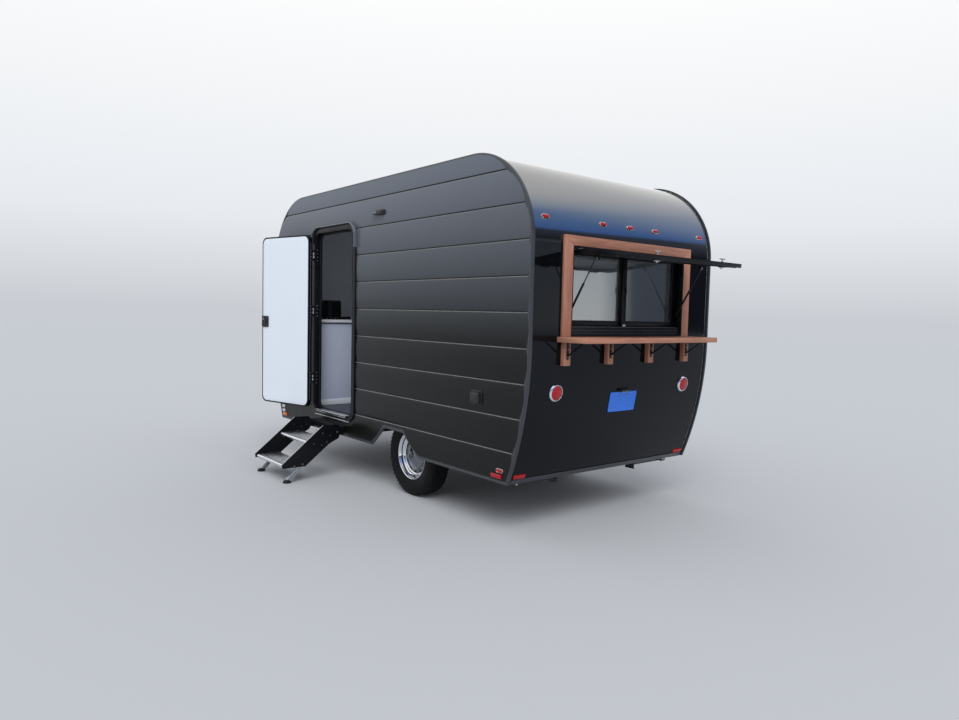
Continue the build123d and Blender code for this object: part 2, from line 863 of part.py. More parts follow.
def step_legs():
    """Square legs that slant out from the lower tread to round feet."""
    under_tread = tread_rows[1][1] - tread_thickness - fit_gap
    out = step_foot_out - step_leg_top_out
    down = first_tread_top / 2
    lean = degrees(atan2(out, down))
    beside = step_plate + step_leg_size / 2 + fit_gap
    legs = []
    for x in (step_rear_x + beside, step_front_x - beside):
        size = step_leg_size
        leg = Box(size, size, sqrt(out**2 + down**2), align=(Align.CENTER, Align.CENTER, Align.MIN))
        leg = Pos(x, side_y + step_foot_out, step_foot_height / 2) * Rot(lean, 0, 0) * leg
        far = side_y + 2 * step_foot_out
        leg &= block(x - size, x + size, side_y, far, step_foot_height / 2, under_tread)
        legs.append(leg + rod((x, side_y + step_foot_out, 0), (0, 0, 1), step_foot_radius, step_foot_height))
    return Compound(legs)


def step_bracket():
    """A beam on the side with two cheeks and the pins that the side plates turn on."""
    reach = step_plate + step_cheek_gap
    x0 = step_rear_x + reach
    x1 = step_front_x - reach
    high = step_pivot_height + step_beam_rise
    low = step_pivot_height - step_beam_drop
    bracket = block(x0, x1, side_y + fit_gap, side_y + step_beam_depth, low, high)
    for a in (x0, x1 - step_cheek):
        bracket += block(a, a + step_cheek, side_y + step_cheek_start, step_pivot_y + step_cheek_reach,
                         step_pivot_height - step_cheek_drop, high)
    for x, way in ((step_rear_x, 1), (step_front_x, -1)):
        start = (x - way * step_pin_radius, step_pivot_y, step_pivot_height)
        bracket += rod(start, (way, 0, 0), step_pin_radius, step_pin_radius + reach + step_cheek)
    return bracket


# Serving window

def window_frame():
    """A deep sheet frame with a raised sill, a head rail over the hinge and the struts' lower pins."""
    front = skin_inset - board_thickness
    back = front + window_frame_depth
    half = window_half_width - window_frame_sheet
    low = window_bottom + window_frame_sheet
    high = window_top - window_frame_sheet
    outer = window_half_width - fit_gap
    frame = block(front, back, -outer, outer, window_bottom + fit_gap, window_top - fit_gap)
    frame -= block(front - 1, back + 1, -half, half, low, high)
    frame += block(skin_inset + window_sill_back, back, -half, half, low, window_bottom + window_sill_rise)
    frame += block(front, skin_inset, -half, half, hatch_axis_height - hatch_barrel_radius, high)
    for sign in (-1, 1):
        start = (skin_inset + strut_depth, sign * half, strut_frame_height)
        frame += rod(start, (0, -sign, 0), strut_pin_radius, half - strut_y + strut_radius)
    return frame


def sash_rows():
    """Low edge, high edge and depth behind the skin of each of the two sliding sashes."""
    half = window_half_width - window_frame_sheet - fit_gap
    inner_depth = sash_depth + sash_thickness + sash_clear
    return ((-half, sash_overlap, sash_depth), (-sash_overlap, half, inner_depth))


sash_foot = window_bottom + window_sill_rise + fit_gap
sash_head = window_top - window_frame_sheet - fit_gap


def window_sashes():
    sashes = []
    for low, high, depth in sash_rows():
        x = skin_inset + depth
        bar = block(x, x + sash_thickness, low, high, sash_foot, sash_head)
        bar -= block(x - 1, x + sash_thickness + 1, low + sash_bar, high - sash_bar,
                     sash_foot + sash_bar, sash_head - sash_bar)
        sashes.append(bar)
    return Compound(sashes)


def window_glass():
    gap = sash_bar + fit_gap
    panes = []
    for low, high, depth in sash_rows():
        x = skin_inset + depth + (sash_thickness - glass_thickness) / 2
        panes.append(block(x, x + glass_thickness, low + gap, high - gap, sash_foot + gap, sash_head - gap))
    return Compound(panes)


def wood_surround():
    """Two upright boards and a head board, mitred at the upper corners."""
    inner = window_half_width
    outer = inner + board_width
    top = window_top + top_board_width
    foot = shelf_top + fit_gap
    upright = [(inner, foot), (outer, foot), (outer, top), (inner, window_top)]
    head = [
        (-outer + fit_gap, top),
        (-inner + fit_gap, window_top),
        (inner - fit_gap, window_top),
        (outer - fit_gap, top),
    ]
    wall = Plane(origin=(skin_inset, 0, 0), x_dir=(0, 1, 0), z_dir=(1, 0, 0))
    side = extrude(wall * polygon(upright), amount=-board_thickness)
    return Compound([side, mirror(side, Plane.XZ), extrude(wall * polygon(head), amount=-board_thickness)])


def shelf():
    return block(skin_inset - shelf_depth, skin_inset, -shelf_half_length, shelf_half_length,
                 shelf_top - shelf_thickness, shelf_top)


def shelf_blocks():
    top = shelf_top - shelf_thickness
    half = shelf_block_width / 2
    front = skin_inset - shelf_block_thickness
    foot = top - shelf_block_height
    rows = shelf_block_rows
    return Compound([block(front, skin_inset, y - half, y + half, foot, top) for y in rows])


def shelf_brackets():
    """A flat arm and leg with a slanting brace, on each block."""
    top = shelf_top - shelf_thickness
    face_x = skin_inset - shelf_block_thickness
    half = bracket_width / 2
    brace_arm = bracket_arm - bracket_brace_width
    brace_leg = bracket_leg - bracket_brace_width
    brace = polygon([
        (face_x - brace_arm, top - bracket_sheet),
        (face_x - brace_arm + bracket_brace_width, top - bracket_sheet),
        (face_x - bracket_sheet, top - brace_leg + bracket_brace_width),
        (face_x - bracket_sheet, top - brace_leg),
    ])
    brackets = []
    for y in shelf_block_rows:
        arm = block(face_x - bracket_arm, face_x, y - half, y + half, top - bracket_sheet, top)
        leg = block(face_x - bracket_sheet, face_x, y - half, y + half, top - bracket_leg, top)
        middle = bracket_brace / 2
        brackets.append(arm + leg + plate_between(brace, y - middle, y + middle))
    return Compound(brackets)


# Awning hatch, drawn shut and then swung open

hatch_axis = Axis((skin_inset - hatch_axis_out, 0, hatch_axis_height), (0, 1, 0))
hatch_inner_x = skin_inset - hatch_out
hatch_outer_x = hatch_inner_x - hatch_thickness
hatch_knuckle = 2 * hatch_half_width / hatch_knuckles - hinge_gap
hatch_knuckle_rows = [
    -hatch_half_width + hinge_gap / 2 + row * (hatch_knuckle + hinge_gap) for row in range(hatch_knuckles)
]


def open_hatch(piece):
    return piece.rotate(hatch_axis, hatch_open_angle)


def hatch():
    """A framed sheet panel with latch bars, strut studs on ears and its half of the hinge knuckles."""
    low = hatch_axis_height - hatch_length
    high = hatch_axis_height - hatch_head
    wide = hatch_half_width
    panel = block(hatch_outer_x, hatch_inner_x, -wide, wide, low, high)
    panel -= block(hatch_outer_x + hatch_sheet, hatch_inner_x + 1, -wide + hatch_rim, wide - hatch_rim,
                   low + hatch_rim, high - hatch_rim)
    length, tall, thick = hatch_latch_size
    for y in hatch_latch_rows:
        panel += block(hatch_inner_x, hatch_inner_x + thick, y - length / 2, y + length / 2,
                       low, low + tall)
    stud_x = skin_inset + strut_depth
    stud_z = hatch_axis_height - strut_hatch_reach
    ear_y = wide - hatch_sheet
    ear_half = 2 * strut_stud_radius
    for sign in (-1, 1):
        panel += block(hatch_inner_x - hatch_sheet, stud_x + strut_stud_radius, sign * (ear_y - strut_ear),
                       sign * ear_y, stud_z - ear_half, stud_z + ear_half)
        reach = strut_y - strut_radius - fit_gap - ear_y + strut_ear / 2
        panel += rod((stud_x, sign * (ear_y - strut_ear / 2), stud_z), (0, sign, 0), strut_stud_radius, reach)
    x = hatch_axis.position.X
    for start in hatch_knuckle_rows[1::2]:
        panel += rod((x, start, hatch_axis_height), (0, 1, 0), hatch_barrel_radius, hatch_knuckle)
        panel += block(x - hatch_barrel_radius, x, start, start + hatch_knuckle, high, hatch_axis_height)
    panel += rod((x, -wide, hatch_axis_height), (0, 1, 0), hatch_pin_radius, 2 * wide)
    return open_hatch(panel)


def hatch_hinge():
    """A strip under the frame's head rail with the fixed half of the knuckles."""
    x = hatch_axis.position.X
    low = hatch_axis_height + hatch_barrel_radius / 2
    high = hatch_axis_height + hatch_barrel_radius
    back = skin_inset - board_thickness
    hinge = block(x + hatch_barrel_radius + 2, back, -hatch_half_width, hatch_half_width, low, high)
    for start in hatch_knuckle_rows[::2]:
        end = start + hatch_knuckle
        hinge += rod((x, start, hatch_axis_height), (0, 1, 0), hatch_barrel_radius, hatch_knuckle)
        hinge += block(x, back, start, end, low, high)
    pin_room = hatch_pin_radius + running_gap
    start = (x, -hatch_half_width - 1, hatch_axis_height)
    return hinge - rod(start, (0, 1, 0), pin_room, 2 * hatch_half_width + 2)


strut_foot = (skin_inset + strut_depth, strut_frame_height)
stud_rest = Vector(strut_depth + hatch_axis_out, 0, -strut_hatch_reach).rotate(Axis.Y, hatch_open_angle)
stud_point = (hatch_axis.position.X + stud_rest.X, hatch_axis_height + stud_rest.Z)
strut_run = (stud_point[0] - strut_foot[0], stud_point[1] - strut_foot[1])
strut_open_length = sqrt(strut_run[0] ** 2 + strut_run[1] ** 2)
strut_shut_length = hatch_axis_height - strut_hatch_reach - strut_frame_height
strut_way = (strut_run[0] / strut_open_length, 0, strut_run[1] / strut_open_length)


def along_strut(distance, y):
    return (strut_foot[0] + strut_way[0] * distance, y, strut_foot[1] + strut_way[2] * distance)


def strut_cylinder():
    """The tube of a gas strut with its eye on the frame's pin and a bore for the rod."""
    width = 2 * strut_radius
    eye_start = (strut_foot[0], strut_y - strut_radius, strut_foot[1])
    eye = rod(eye_start, (0, 1, 0), strut_eye_radius, width)
    tube_start = along_strut(strut_tube_start, strut_y)
    tube = rod(tube_start, strut_way, strut_radius, strut_tube_end - strut_tube_start)
    bore_start = along_strut(strut_bore_start, strut_y)
    bore = rod(bore_start, strut_way, strut_rod_radius + running_gap, strut_tube_end)
    return eye + tube - bore - rod(eye_start, (0, 1, 0), strut_pin_radius + running_gap, width)


def strut_rod():
    """The rod, with its head beside the stud on the hatch."""
    start = strut_rod_foot + strut_open_length - strut_shut_length
    length = strut_open_length - start - strut_rod_end
    bar = rod(along_strut(start, strut_y), strut_way, strut_rod_radius, length)
    head = strut_radius - 1
    head_start = (stud_point[0], strut_y - head, stud_point[1])
    return bar + rod(head_start, (0, 1, 0), 2 * strut_rod_radius, 2 * head)


# Lamps and small fittings

def tail_lamps():
    """A deep round bezel with a raised lens in it, on each side."""
    crown = tail_lamp_bezel + tail_lamp_dome
    section = [
        (0, 0),
        (tail_lamp_radius, 0),
        (tail_lamp_radius - 4, tail_lamp_bezel),
        (tail_lamp_lens, tail_lamp_bezel),
        (tail_lamp_lens * 2 / 3, crown),
        (0, crown),
    ]
    lamp = revolve(Plane.XZ * polygon(section), Axis.Z, 360)
    seat = rear_seat(tail_lamp_height)
    return Compound([seat * Pos(y, 0, 0) * lamp for y in (-tail_lamp_y, tail_lamp_y)])


def clearance_lamps():
    """Oval lamps in a row over the window."""
    wide, tall, deep = clearance_lamp_size
    lamp = extrude(SlotOverall(wide, tall), amount=deep)
    seat = rear_seat(shoulder_height + clearance_lamp_rise)
    return Compound([seat * Pos(y, 0, 0) * lamp for y in clearance_lamp_rows])


def number_plate():
    seat = rear_seat(plate_height)
    wide, tall, thick = plate_size
    plate = seat * extrude(RectangleRounded(wide, tall, plate_corner), amount=thick)
    lamp_wide, lamp_tall, deep = plate_lamp_size
    outline = RectangleRounded(lamp_wide, lamp_tall, lamp_tall / 3)
    return Compound([plate, seat * Pos(0, tall / 2 + lamp_tall / 2 + 1, 0) * extrude(outline, amount=deep)])


def side_markers():
    """Low lamps at the rear and front corners of both sides."""
    lamps = []
    for end, height, from_edge, wide, tall, oval in marker_rows:
        x = tuck_x(height, from_edge)
        if end == "front":
            x = body_length - x
        outline = SlotOverall(wide, tall) if oval else Rectangle(wide, tall)
        lamp = plate_between(Pos(x, height) * outline, side_y, side_y + marker_proud)
        lamps += [lamp, mirror(lamp, Plane.XZ)]
    return Compound(lamps)


def inlet_box():
    wide, tall, deep = inlet_size
    outline = Pos(inlet_x, inlet_height) * RectangleRounded(wide, tall, inlet_corner)
    return plate_between(outline, side_y, side_y + deep)


def porch_lamp():
    long, tall, deep = porch_lamp_size
    place = Pos(door_rear - porch_lamp_behind, shoulder_height + porch_lamp_rise)
    return plate_between(place * RectangleRounded(long, tall, porch_lamp_corner), side_y, side_y + deep)


# Stabilizers

skin_inner_x = tuck_x(stabilizer_height, skin_inset + wall_thickness)
stabilizer_x = skin_inner_x + stabilizer_foot[0] / 2 + stabilizer_clear


def stabilizer_mount():
    """A plate under the rail with two cheeks and the pin that the leg turns on."""
    half = stabilizer_mount_half
    x = stabilizer_x
    outside = stabilizer_y + half
    foot = stabilizer_height - 3 * stabilizer_pin_radius
    top = rail_bottom
    plate = block(x - half, x + half, rail_y - rail_width / 2, outside, top - stabilizer_cheek, top)
    for a in (x - half, x + half - stabilizer_cheek):
        plate += block(a, a + stabilizer_cheek, stabilizer_y - half, outside, foot, top)
    pin = rod((x - half, stabilizer_y, stabilizer_height), (1, 0, 0), stabilizer_pin_radius, 2 * half)
    return both(plate + pin)


def stabilizer_leg():
    """A folded channel with a foot plate, drawn as it travels, along the underside of the body."""
    x = stabilizer_x
    y = stabilizer_y
    z = stabilizer_height
    half = stabilizer_width / 2
    deep = 2 * stabilizer_pin_radius
    web = stabilizer_web
    tip = y - stabilizer_length
    leg = block(x - half, x + half, tip, y + deep, z - deep, z + deep)
    leg -= block(x - half + web, x + half - web, tip - 1, y + deep + 1, z - deep - 1, z + deep - web)
    wide, tall, thick = stabilizer_foot
    leg += block(x - wide / 2, x + wide / 2, tip - thick, tip, z - tall + 2 * deep, z + 2 * deep)
    pin_room = stabilizer_pin_radius + running_gap
    return leg - rod((x - half - 1, y, z), (1, 0, 0), pin_room, stabilizer_width + 2)


# Cabinet

def cabin_room(x0, z0, z1):
    """What of the cabin lies ahead of a place, between two heights."""
    end = inner_y - 1
    inside = body_profile(skin_inset + wall_thickness + 1, floor_top)
    return plate_between(inside, -end, end) & block(x0, body_length, -end, end, z0, z1)


def cabinet():
    """Boards along the front and the ends, under the counter top."""
    top = counter_height - counter_thickness
    end = inner_y - 1 - cabinet_board
    room = block(cabinet_face + cabinet_board, body_length, -end, end, floor_top, counter_height)
    return cabin_room(cabinet_face, floor_top + fit_gap, top) - room


def counter_top():
    return cabin_room(cabinet_face - counter_nose, counter_height - counter_thickness, counter_height)


def appliance():
    x = cabinet_face + appliance_back
    long, wide, tall = appliance_size
    return block(x, x + long, appliance_side, appliance_side + wide, counter_height, counter_height + tall)


band = skin_band()
left_wheel = wheel()
left_tyre = tyre()
left_leg = stabilizer_leg()
left_cylinder = strut_cylinder()
left_rod = strut_rod()

nodes = {
    "side_wall_left": side_wall(True),
    "side_wall_right": side_wall(False),
    "moulding_left": edge_moulding(True),
    "moulding_right": edge_moulding(False),
    "rear_wall": rear_wall(band),
    "front_wall": front_wall(band),
    "roof": roof(band),
    "end_trims": end_trims(),
    "floor": floor(),
    "wheel_wells": wheel_wells(),
    "rails": rails(),
    "crossmembers": crossmembers(),
    "tongue": tongue(),
    "coupler": coupler(),
    "tongue_jack": tongue_jack(),
    "jack_leg": jack_leg(),
    "axle": axle(),
    "tyre_left": left_tyre,
    "tyre_right": mirror(left_tyre, Plane.XZ),
    "wheel_left": left_wheel,
    "wheel_right": mirror(left_wheel, Plane.XZ),
    "door_frame": door_frame(),
    "door_sill": door_sill(),
    "door_leaf": door_leaf(),
    "door_liner": door_liner(),
    "door_latch": door_latch(),
    "door_inner_latch": door_inner_latch(),
    "step_bracket": step_bracket(),
    "step_plates": step_plates(),
    "step_treads": step_treads(),
    "step_legs": step_legs(),
    "window_frame": window_frame(),
    "window_sashes": window_sashes(),
    "window_glass": window_glass(),
    "wood_surround": wood_surround(),
    "shelf": shelf(),
    "shelf_blocks": shelf_blocks(),
    "shelf_brackets": shelf_brackets(),
    "hatch": hatch(),
    "hatch_hinge": hatch_hinge(),
    "strut_cylinder_left": left_cylinder,
    "strut_cylinder_right": mirror(left_cylinder, Plane.XZ),
    "strut_rod_left": left_rod,
    "strut_rod_right": mirror(left_rod, Plane.XZ),
    "tail_lamps": tail_lamps(),
    "clearance_lamps": clearance_lamps(),
    "number_plate": number_plate(),
    "side_markers": side_markers(),
    "inlet_box": inlet_box(),
    "porch_lamp": porch_lamp(),
    "stabilizer_mounts": stabilizer_mount(),
    "stabilizer_left": left_leg,
    "stabilizer_right": mirror(left_leg, Plane.XZ),
    "cabinet": cabinet(),
    "counter_top": counter_top(),
    "appliance": appliance(),
}

# The finished part's origin is the centre of the tow ball
to_ball = Pos(-ball_x, 0, -ball_height)
for name, piece in nodes.items():
    export_step(to_ball * piece, f"parts/{name}.step")
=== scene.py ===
import json
import math

import bmesh
import bpy
from mathutils import Matrix, Vector

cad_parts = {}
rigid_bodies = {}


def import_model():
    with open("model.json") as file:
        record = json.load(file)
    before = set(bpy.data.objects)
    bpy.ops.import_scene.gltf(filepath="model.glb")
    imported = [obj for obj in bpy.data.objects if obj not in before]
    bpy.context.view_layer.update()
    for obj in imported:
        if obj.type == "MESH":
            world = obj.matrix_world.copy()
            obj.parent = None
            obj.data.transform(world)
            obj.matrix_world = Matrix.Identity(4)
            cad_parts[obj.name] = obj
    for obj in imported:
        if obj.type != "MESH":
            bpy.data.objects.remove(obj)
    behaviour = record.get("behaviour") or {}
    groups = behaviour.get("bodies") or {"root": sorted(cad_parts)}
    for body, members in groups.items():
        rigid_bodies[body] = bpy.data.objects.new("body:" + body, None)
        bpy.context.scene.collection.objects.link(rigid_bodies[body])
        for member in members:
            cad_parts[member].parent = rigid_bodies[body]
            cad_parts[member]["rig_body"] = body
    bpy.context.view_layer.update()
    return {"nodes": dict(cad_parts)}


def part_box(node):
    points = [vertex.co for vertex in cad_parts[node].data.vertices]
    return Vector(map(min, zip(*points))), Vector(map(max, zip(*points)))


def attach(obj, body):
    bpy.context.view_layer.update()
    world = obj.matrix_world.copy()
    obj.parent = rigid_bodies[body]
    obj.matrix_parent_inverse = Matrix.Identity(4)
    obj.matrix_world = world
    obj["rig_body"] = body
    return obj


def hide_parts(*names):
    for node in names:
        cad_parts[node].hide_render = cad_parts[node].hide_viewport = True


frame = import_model()
scene = bpy.context.scene
mm = 0.001
print("frame loaded:", len(frame["nodes"]), "nodes")

# Places read from the frame; x is forward, y to the door side, z up
wallLow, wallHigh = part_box("side_wall_left")
tyreLow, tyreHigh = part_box("tyre_left")
doorLow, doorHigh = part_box("door_frame")
windowLow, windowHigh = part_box("window_frame")
groundZ = tyreLow.z
rearX, frontX = wallLow.x, wallHigh.x
sideY, innerY = wallHigh.y, wallLow.y
roofZ, skirtZ = wallHigh.z, wallLow.z
wheelSpot = (tyreLow + tyreHigh) / 2
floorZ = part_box("floor")[1].z

shell = {
    "corner": 0.670,  # shoulder radius of the side profile
    "tuck": 2.630,  # radius of the tucked ends
    "tuckHeight": 1.380,  # above the ground, where the tuck starts
    "skinInset": 0.015, "thickness": 0.040,
}


# A height above the ground, in the frame's z
def above(height):
    return groundZ + height


tuckZ, shoulderZ = above(shell["tuckHeight"]), roofZ - shell["corner"]


# A colour given as on screen, 0 to 255, as linear light
def colour(*shade):
    parts = [value / 255 for value in shade]
    linear = [part / 12.92 if part <= 0.04045 else ((part + 0.055) / 1.055) ** 2.4 for part in parts]
    return (*linear, 1.0)


def placed(name, data):
    thing = bpy.data.objects.new(name, data)
    scene.collection.objects.link(thing)
    return thing


# Helpers for node trees: figures are set on a node's inputs, and sockets are linked to them

def fill(node, values):
    for label, value in values.items():
        if isinstance(value, bpy.types.NodeSocket):
            node.id_data.links.new(value, node.inputs[label])
        else:
            node.inputs[label].default_value = value


def addNode(tree, kind, values=None, **traits):
    node = tree.nodes.new(kind)
    for trait, value in traits.items():
        setattr(node, trait, value)
    fill(node, values or {})
    return node


def nodeOut(tree, kind, output, values=None, **traits):
    return addNode(tree, kind, values, **traits).outputs[output]


# The first colour turns into the second as the factor goes from 0 to 1
def mixColour(tree, factor, first, second):
    both = addNode(tree, "ShaderNodeMix", {"Factor": factor}, data_type="RGBA")
    sockets = [index for index, socket in enumerate(both.inputs) if socket.type == "RGBA"]
    fill(both, dict(zip(sockets, (first, second))))
    return next(socket for socket in both.outputs if socket.type == "RGBA")


# A material with these values on its Principled shader
def principled(name, values):
    skin = bpy.data.materials.new(name)
    skin.use_nodes = True
    fill(skin.node_tree.nodes["Principled BSDF"], values)
    return skin


# Camera, floor and light

def aimCamera():
    view = {"spot": (-8.874, 4.315, 1.110), "yaw": -38.97, "pitch": -3.73, "roll": 1.349, "lens": 26.88}
    yaw, pitch, roll = (math.radians(view[key]) for key in ("yaw", "pitch", "roll"))
    forward = Vector((math.cos(pitch) * math.cos(yaw), math.cos(pitch) * math.sin(yaw), math.sin(pitch)))
    level = forward.cross(Vector((0, 0, 1))).normalized()
    upright = level.cross(forward)
    right = level * math.cos(roll) + upright * math.sin(roll)
    up = upright * math.cos(roll) - level * math.sin(roll)
    data = bpy.data.cameras.new("camera")
    data.lens = view["lens"]
    data.sensor_width = 36
    eye = placed("camera", data)
    eye.matrix_world = Matrix.Translation(view["spot"]) @ Matrix((right, up, -forward)).transposed().to_4x4()
    scene.camera = eye


def lightStudio():
    white, dusk = (1, 1, 1), (0.07, 0.08, 0.11)
    band = ((0.29, dusk), (0.33, (0.11, 0.25, 0.66)), (0.56, (0.26, 0.42, 0.74)), (0.74, white))
    light = {
        "sky": (0.92, 0.95, 1.0, 1.0), "skyStrength": 0.95,
        # shades by the rise of the ray: the pale backdrop, and what gloss shows before and behind the trailer
        "backdrop": ((0.0, (0.585, 0.61, 0.65)), (0.12, (0.80, 0.83, 0.87)), (0.42, white)),
        "ahead": ((0.0, (0.74, 0.78, 0.83)), (0.16, (0.94, 0.97, 1.0)), (0.4, white)),
        "behind": band,
        "corner": ((0.0, (0.96, 0.98, 1.0)), (0.09, (0.80, 0.86, 0.94)), (0.16, dusk)) + band,
        # where the corner ends and where behind turns into ahead, by the ray's x
        "cornerEdge": (-0.664, -0.630), "aheadEdge": (-0.52, 0.25),
        "keyStrength": 1.7, "keyAngle": 40, "keyWay": (0.52, -0.44, -0.74),
    }
    world = bpy.data.worlds.new("studio")
    scene.world = world
    world.use_nodes = True
    tree = world.node_tree
    tree.nodes.clear()
    way = nodeOut(tree, "ShaderNodeTexCoord", "Generated")
    ray = addNode(tree, "ShaderNodeSeparateXYZ", {0: way}).outputs
    kinds = addNode(tree, "ShaderNodeLightPath").outputs

    def shades(name):
        rise = addNode(tree, "ShaderNodeValToRGB", {"Fac": ray["Z"]})
        places = rise.color_ramp.elements
        for _ in light[name][2:]:
            places.new(0.5)
        for place, (height, shade) in zip(places, light[name]):
            place.position, place.color = height, (*shade, 1)
        return rise.outputs["Color"]

    def between(edge, first, second):
        share = nodeOut(tree, "ShaderNodeMapRange", "Result",
                        {"Value": ray["X"], "From Min": light[edge][0], "From Max": light[edge][1]})
        return mixColour(tree, share, first, second)

    rear = between("cornerEdge", shades("corner"), shades("behind"))
    gloss = between("aheadEdge", rear, shades("ahead"))
    seen = mixColour(tree, kinds["Is Glossy Ray"], shades("backdrop"), gloss)
    # camera, glossy and transmission rays see the backdrop, the rest the even sky
    direct = kinds["Is Camera Ray"]
    for kind in ("Is Glossy Ray", "Is Transmission Ray"):
        direct = nodeOut(tree, "ShaderNodeMath", 0, {0: direct, 1: kinds[kind]}, operation="MAXIMUM")
    sky = nodeOut(tree, "ShaderNodeBackground", 0, {"Color": light["sky"], "Strength": light["skyStrength"]})
    backdrop = nodeOut(tree, "ShaderNodeBackground", 0, {"Color": seen})
    addNode(tree, "ShaderNodeOutputWorld",
            {"Surface": nodeOut(tree, "ShaderNodeMixShader", 0, {"Fac": direct, 1: sky, 2: backdrop})})
    key = bpy.data.lights.new("key", "SUN")
    key.energy = light["keyStrength"]
    key.angle = math.radians(light["keyAngle"])
    lamp = placed("key", key)
    lamp.rotation_euler = Vector(light["keyWay"]).to_track_quat("-Z", "Y").to_euler()
    lamp.visible_glossy = False  # no bright disc of the lamp in the glossy roof


def layFloor():
    ground = {"reach": 60.0, "shade": (178, 180, 183), "rough": 0.9, "specular": 0.1}
    corners = [(x * ground["reach"], y * ground["reach"], groundZ)
               for x, y in ((-1, -1), (1, -1), (1, 1), (-1, 1))]
    mesh = bpy.data.meshes.new("floorStage")
    mesh.from_pydata(corners, [], [(0, 1, 2, 3)])
    mesh.materials.append(principled("paleFloor", {
        "Base Color": colour(*ground["shade"]), "Roughness": ground["rough"],
        "Specular IOR Level": ground["specular"]}))
    placed("floorStage", mesh)


scene.view_settings.view_transform = "Standard"
aimCamera()
lightStudio()
layFloor()
print("camera, light and floor ready")


# Materials. Each is a Principled surface whose colour, roughness and bump come from noise in object space.

# vary shifts the colour, grain is fine bump and wave a slow one; stretch draws the pattern out along an axis
def surface(name, base, rough, metal=0.0, coat=0.0, specular=0.5, tint=(1, 1, 1, 1), vary=0.12, varyScale=3.0,
            grain=0.0, grainScale=300.0, roughVary=0.08, wave=0.0, waveScale=1.2, stretch=None, dark=None):
    skin = principled(name, {"Metallic": metal, "Specular IOR Level": specular, "Specular Tint": tint,
                             "Coat Weight": coat, "Coat Roughness": 0.04})
    tree = skin.node_tree
    place = nodeOut(tree, "ShaderNodeTexCoord", "Object")
    if stretch:
        place = nodeOut(tree, "ShaderNodeMapping", "Vector", {"Scale": stretch, "Vector": place})
    drift = nodeOut(tree, "ShaderNodeTexNoise", "Fac",
                    {"Vector": place, "Scale": varyScale, "Detail": 6, "Roughness": 0.62})
    shade = addNode(tree, "ShaderNodeValToRGB", {"Fac": drift})
    low, high = shade.color_ramp.elements
    low.position, high.position = 0.30, 0.70
    ownShade = colour(*base)[:3]
    low.color = colour(*dark) if dark else (*(value * (1 - vary) for value in ownShade), 1.0)
    high.color = (*(min(1.0, value * (1 + vary)) for value in ownShade), 1.0)
    spread = {"Value": drift, "From Min": 0.3, "From Max": 0.7, "To Min": max(0.02, rough - roughVary),
              "To Max": min(1.0, rough + roughVary)}
    looks = {"Base Color": shade.outputs["Color"],
             "Roughness": nodeOut(tree, "ShaderNodeMapRange", "Result", spread)}
    for strength, scale, depth in ((grain, grainScale, 0.0004), (wave, waveScale, 0.02)):
        if strength:
            noise = {"Vector": place, "Scale": scale, "Detail": 2}
            ripple = nodeOut(tree, "ShaderNodeTexNoise", "Fac", noise)
            looks["Normal"] = bumped(tree, ripple, strength, depth, looks.get("Normal"))
    fill(tree.nodes["Principled BSDF"], looks)
    return skin


# A bump from a pattern, laid over an earlier one where there is one
def bumped(tree, pattern, strength, depth, under):
    values = {"Height": pattern, "Strength": strength, "Distance": depth}
    if under:
        values["Normal"] = under
    return nodeOut(tree, "ShaderNodeBump", "Normal", values)


# A value that runs from one figure or socket to another between two places along an axis of the object
def byPlace(tree, axis, low, high, first, last):
    parts = addNode(tree, "ShaderNodeSeparateXYZ", {0: nodeOut(tree, "ShaderNodeTexCoord", "Object")}).outputs
    return nodeOut(tree, "ShaderNodeMapRange", "Result", {
        "Value": parts[axis], "From Min": low, "From Max": high, "To Min": first, "To Max": last})


# Paint whose colour turns into a second colour between two heights; on the planks this is a painted
# reflection of the sky, lighter and bluer towards the roof
def fadedPaint(name, skyLitShade, start, end, **looks):
    paint = surface(name, **looks)
    tree = paint.node_tree
    shader = tree.nodes["Principled BSDF"]
    ownShade = shader.inputs["Base Color"].links[0].from_socket
    share = byPlace(tree, "Z", start, end, 0.0, 1.0)
    fill(shader, {"Base Color": mixColour(tree, share, ownShade, colour(*skyLitShade))})
    return paint


# Gloss black with a painted reflection: its coat runs strong over the rear shoulders and the roof, to none
# low on the rear, and weaker at the front; the bluish tint on its reflections stands in for the sky
def glossPaint(name):
    paint = surface(name, (10, 11, 15), 0.06, specular=0.2, tint=(0.80, 0.89, 1, 1), vary=0.05,
                    roughVary=0.02, wave=0.06, waveScale=1.1)
    # from a height and to a height, with the painted coat at each; then from the rear to the front, by x
    paintedCoat = {"rear": (shoulderZ, shoulderZ + 0.09, 0.0, 1.0),
              "front": (shoulderZ - 0.5, shoulderZ + 0.3, 0.08, 0.5), "blend": (-4.2, -1.6), "index": 3.2}
    tree = paint.node_tree
    ends = [byPlace(tree, "Z", *paintedCoat[end]) for end in ("rear", "front")]
    fill(tree.nodes["Principled BSDF"], {
        "Coat IOR": paintedCoat["index"], "Coat Weight": byPlace(tree, "X", *paintedCoat["blend"], *ends)})
    return paint


# Boards with their grain along one axis: pale and dark streaks, with fine pores in the bump
def cedar(name, along, base=(176, 125, 104), dark=(148, 99, 80)):
    stretch = tuple(0.7 if axis == along else 11.0 for axis in "xyz")
    return surface(name, base, 0.52, vary=0.07, varyScale=7, dark=dark, grain=0.5, grainScale=60,
                   stretch=stretch, specular=0.35)


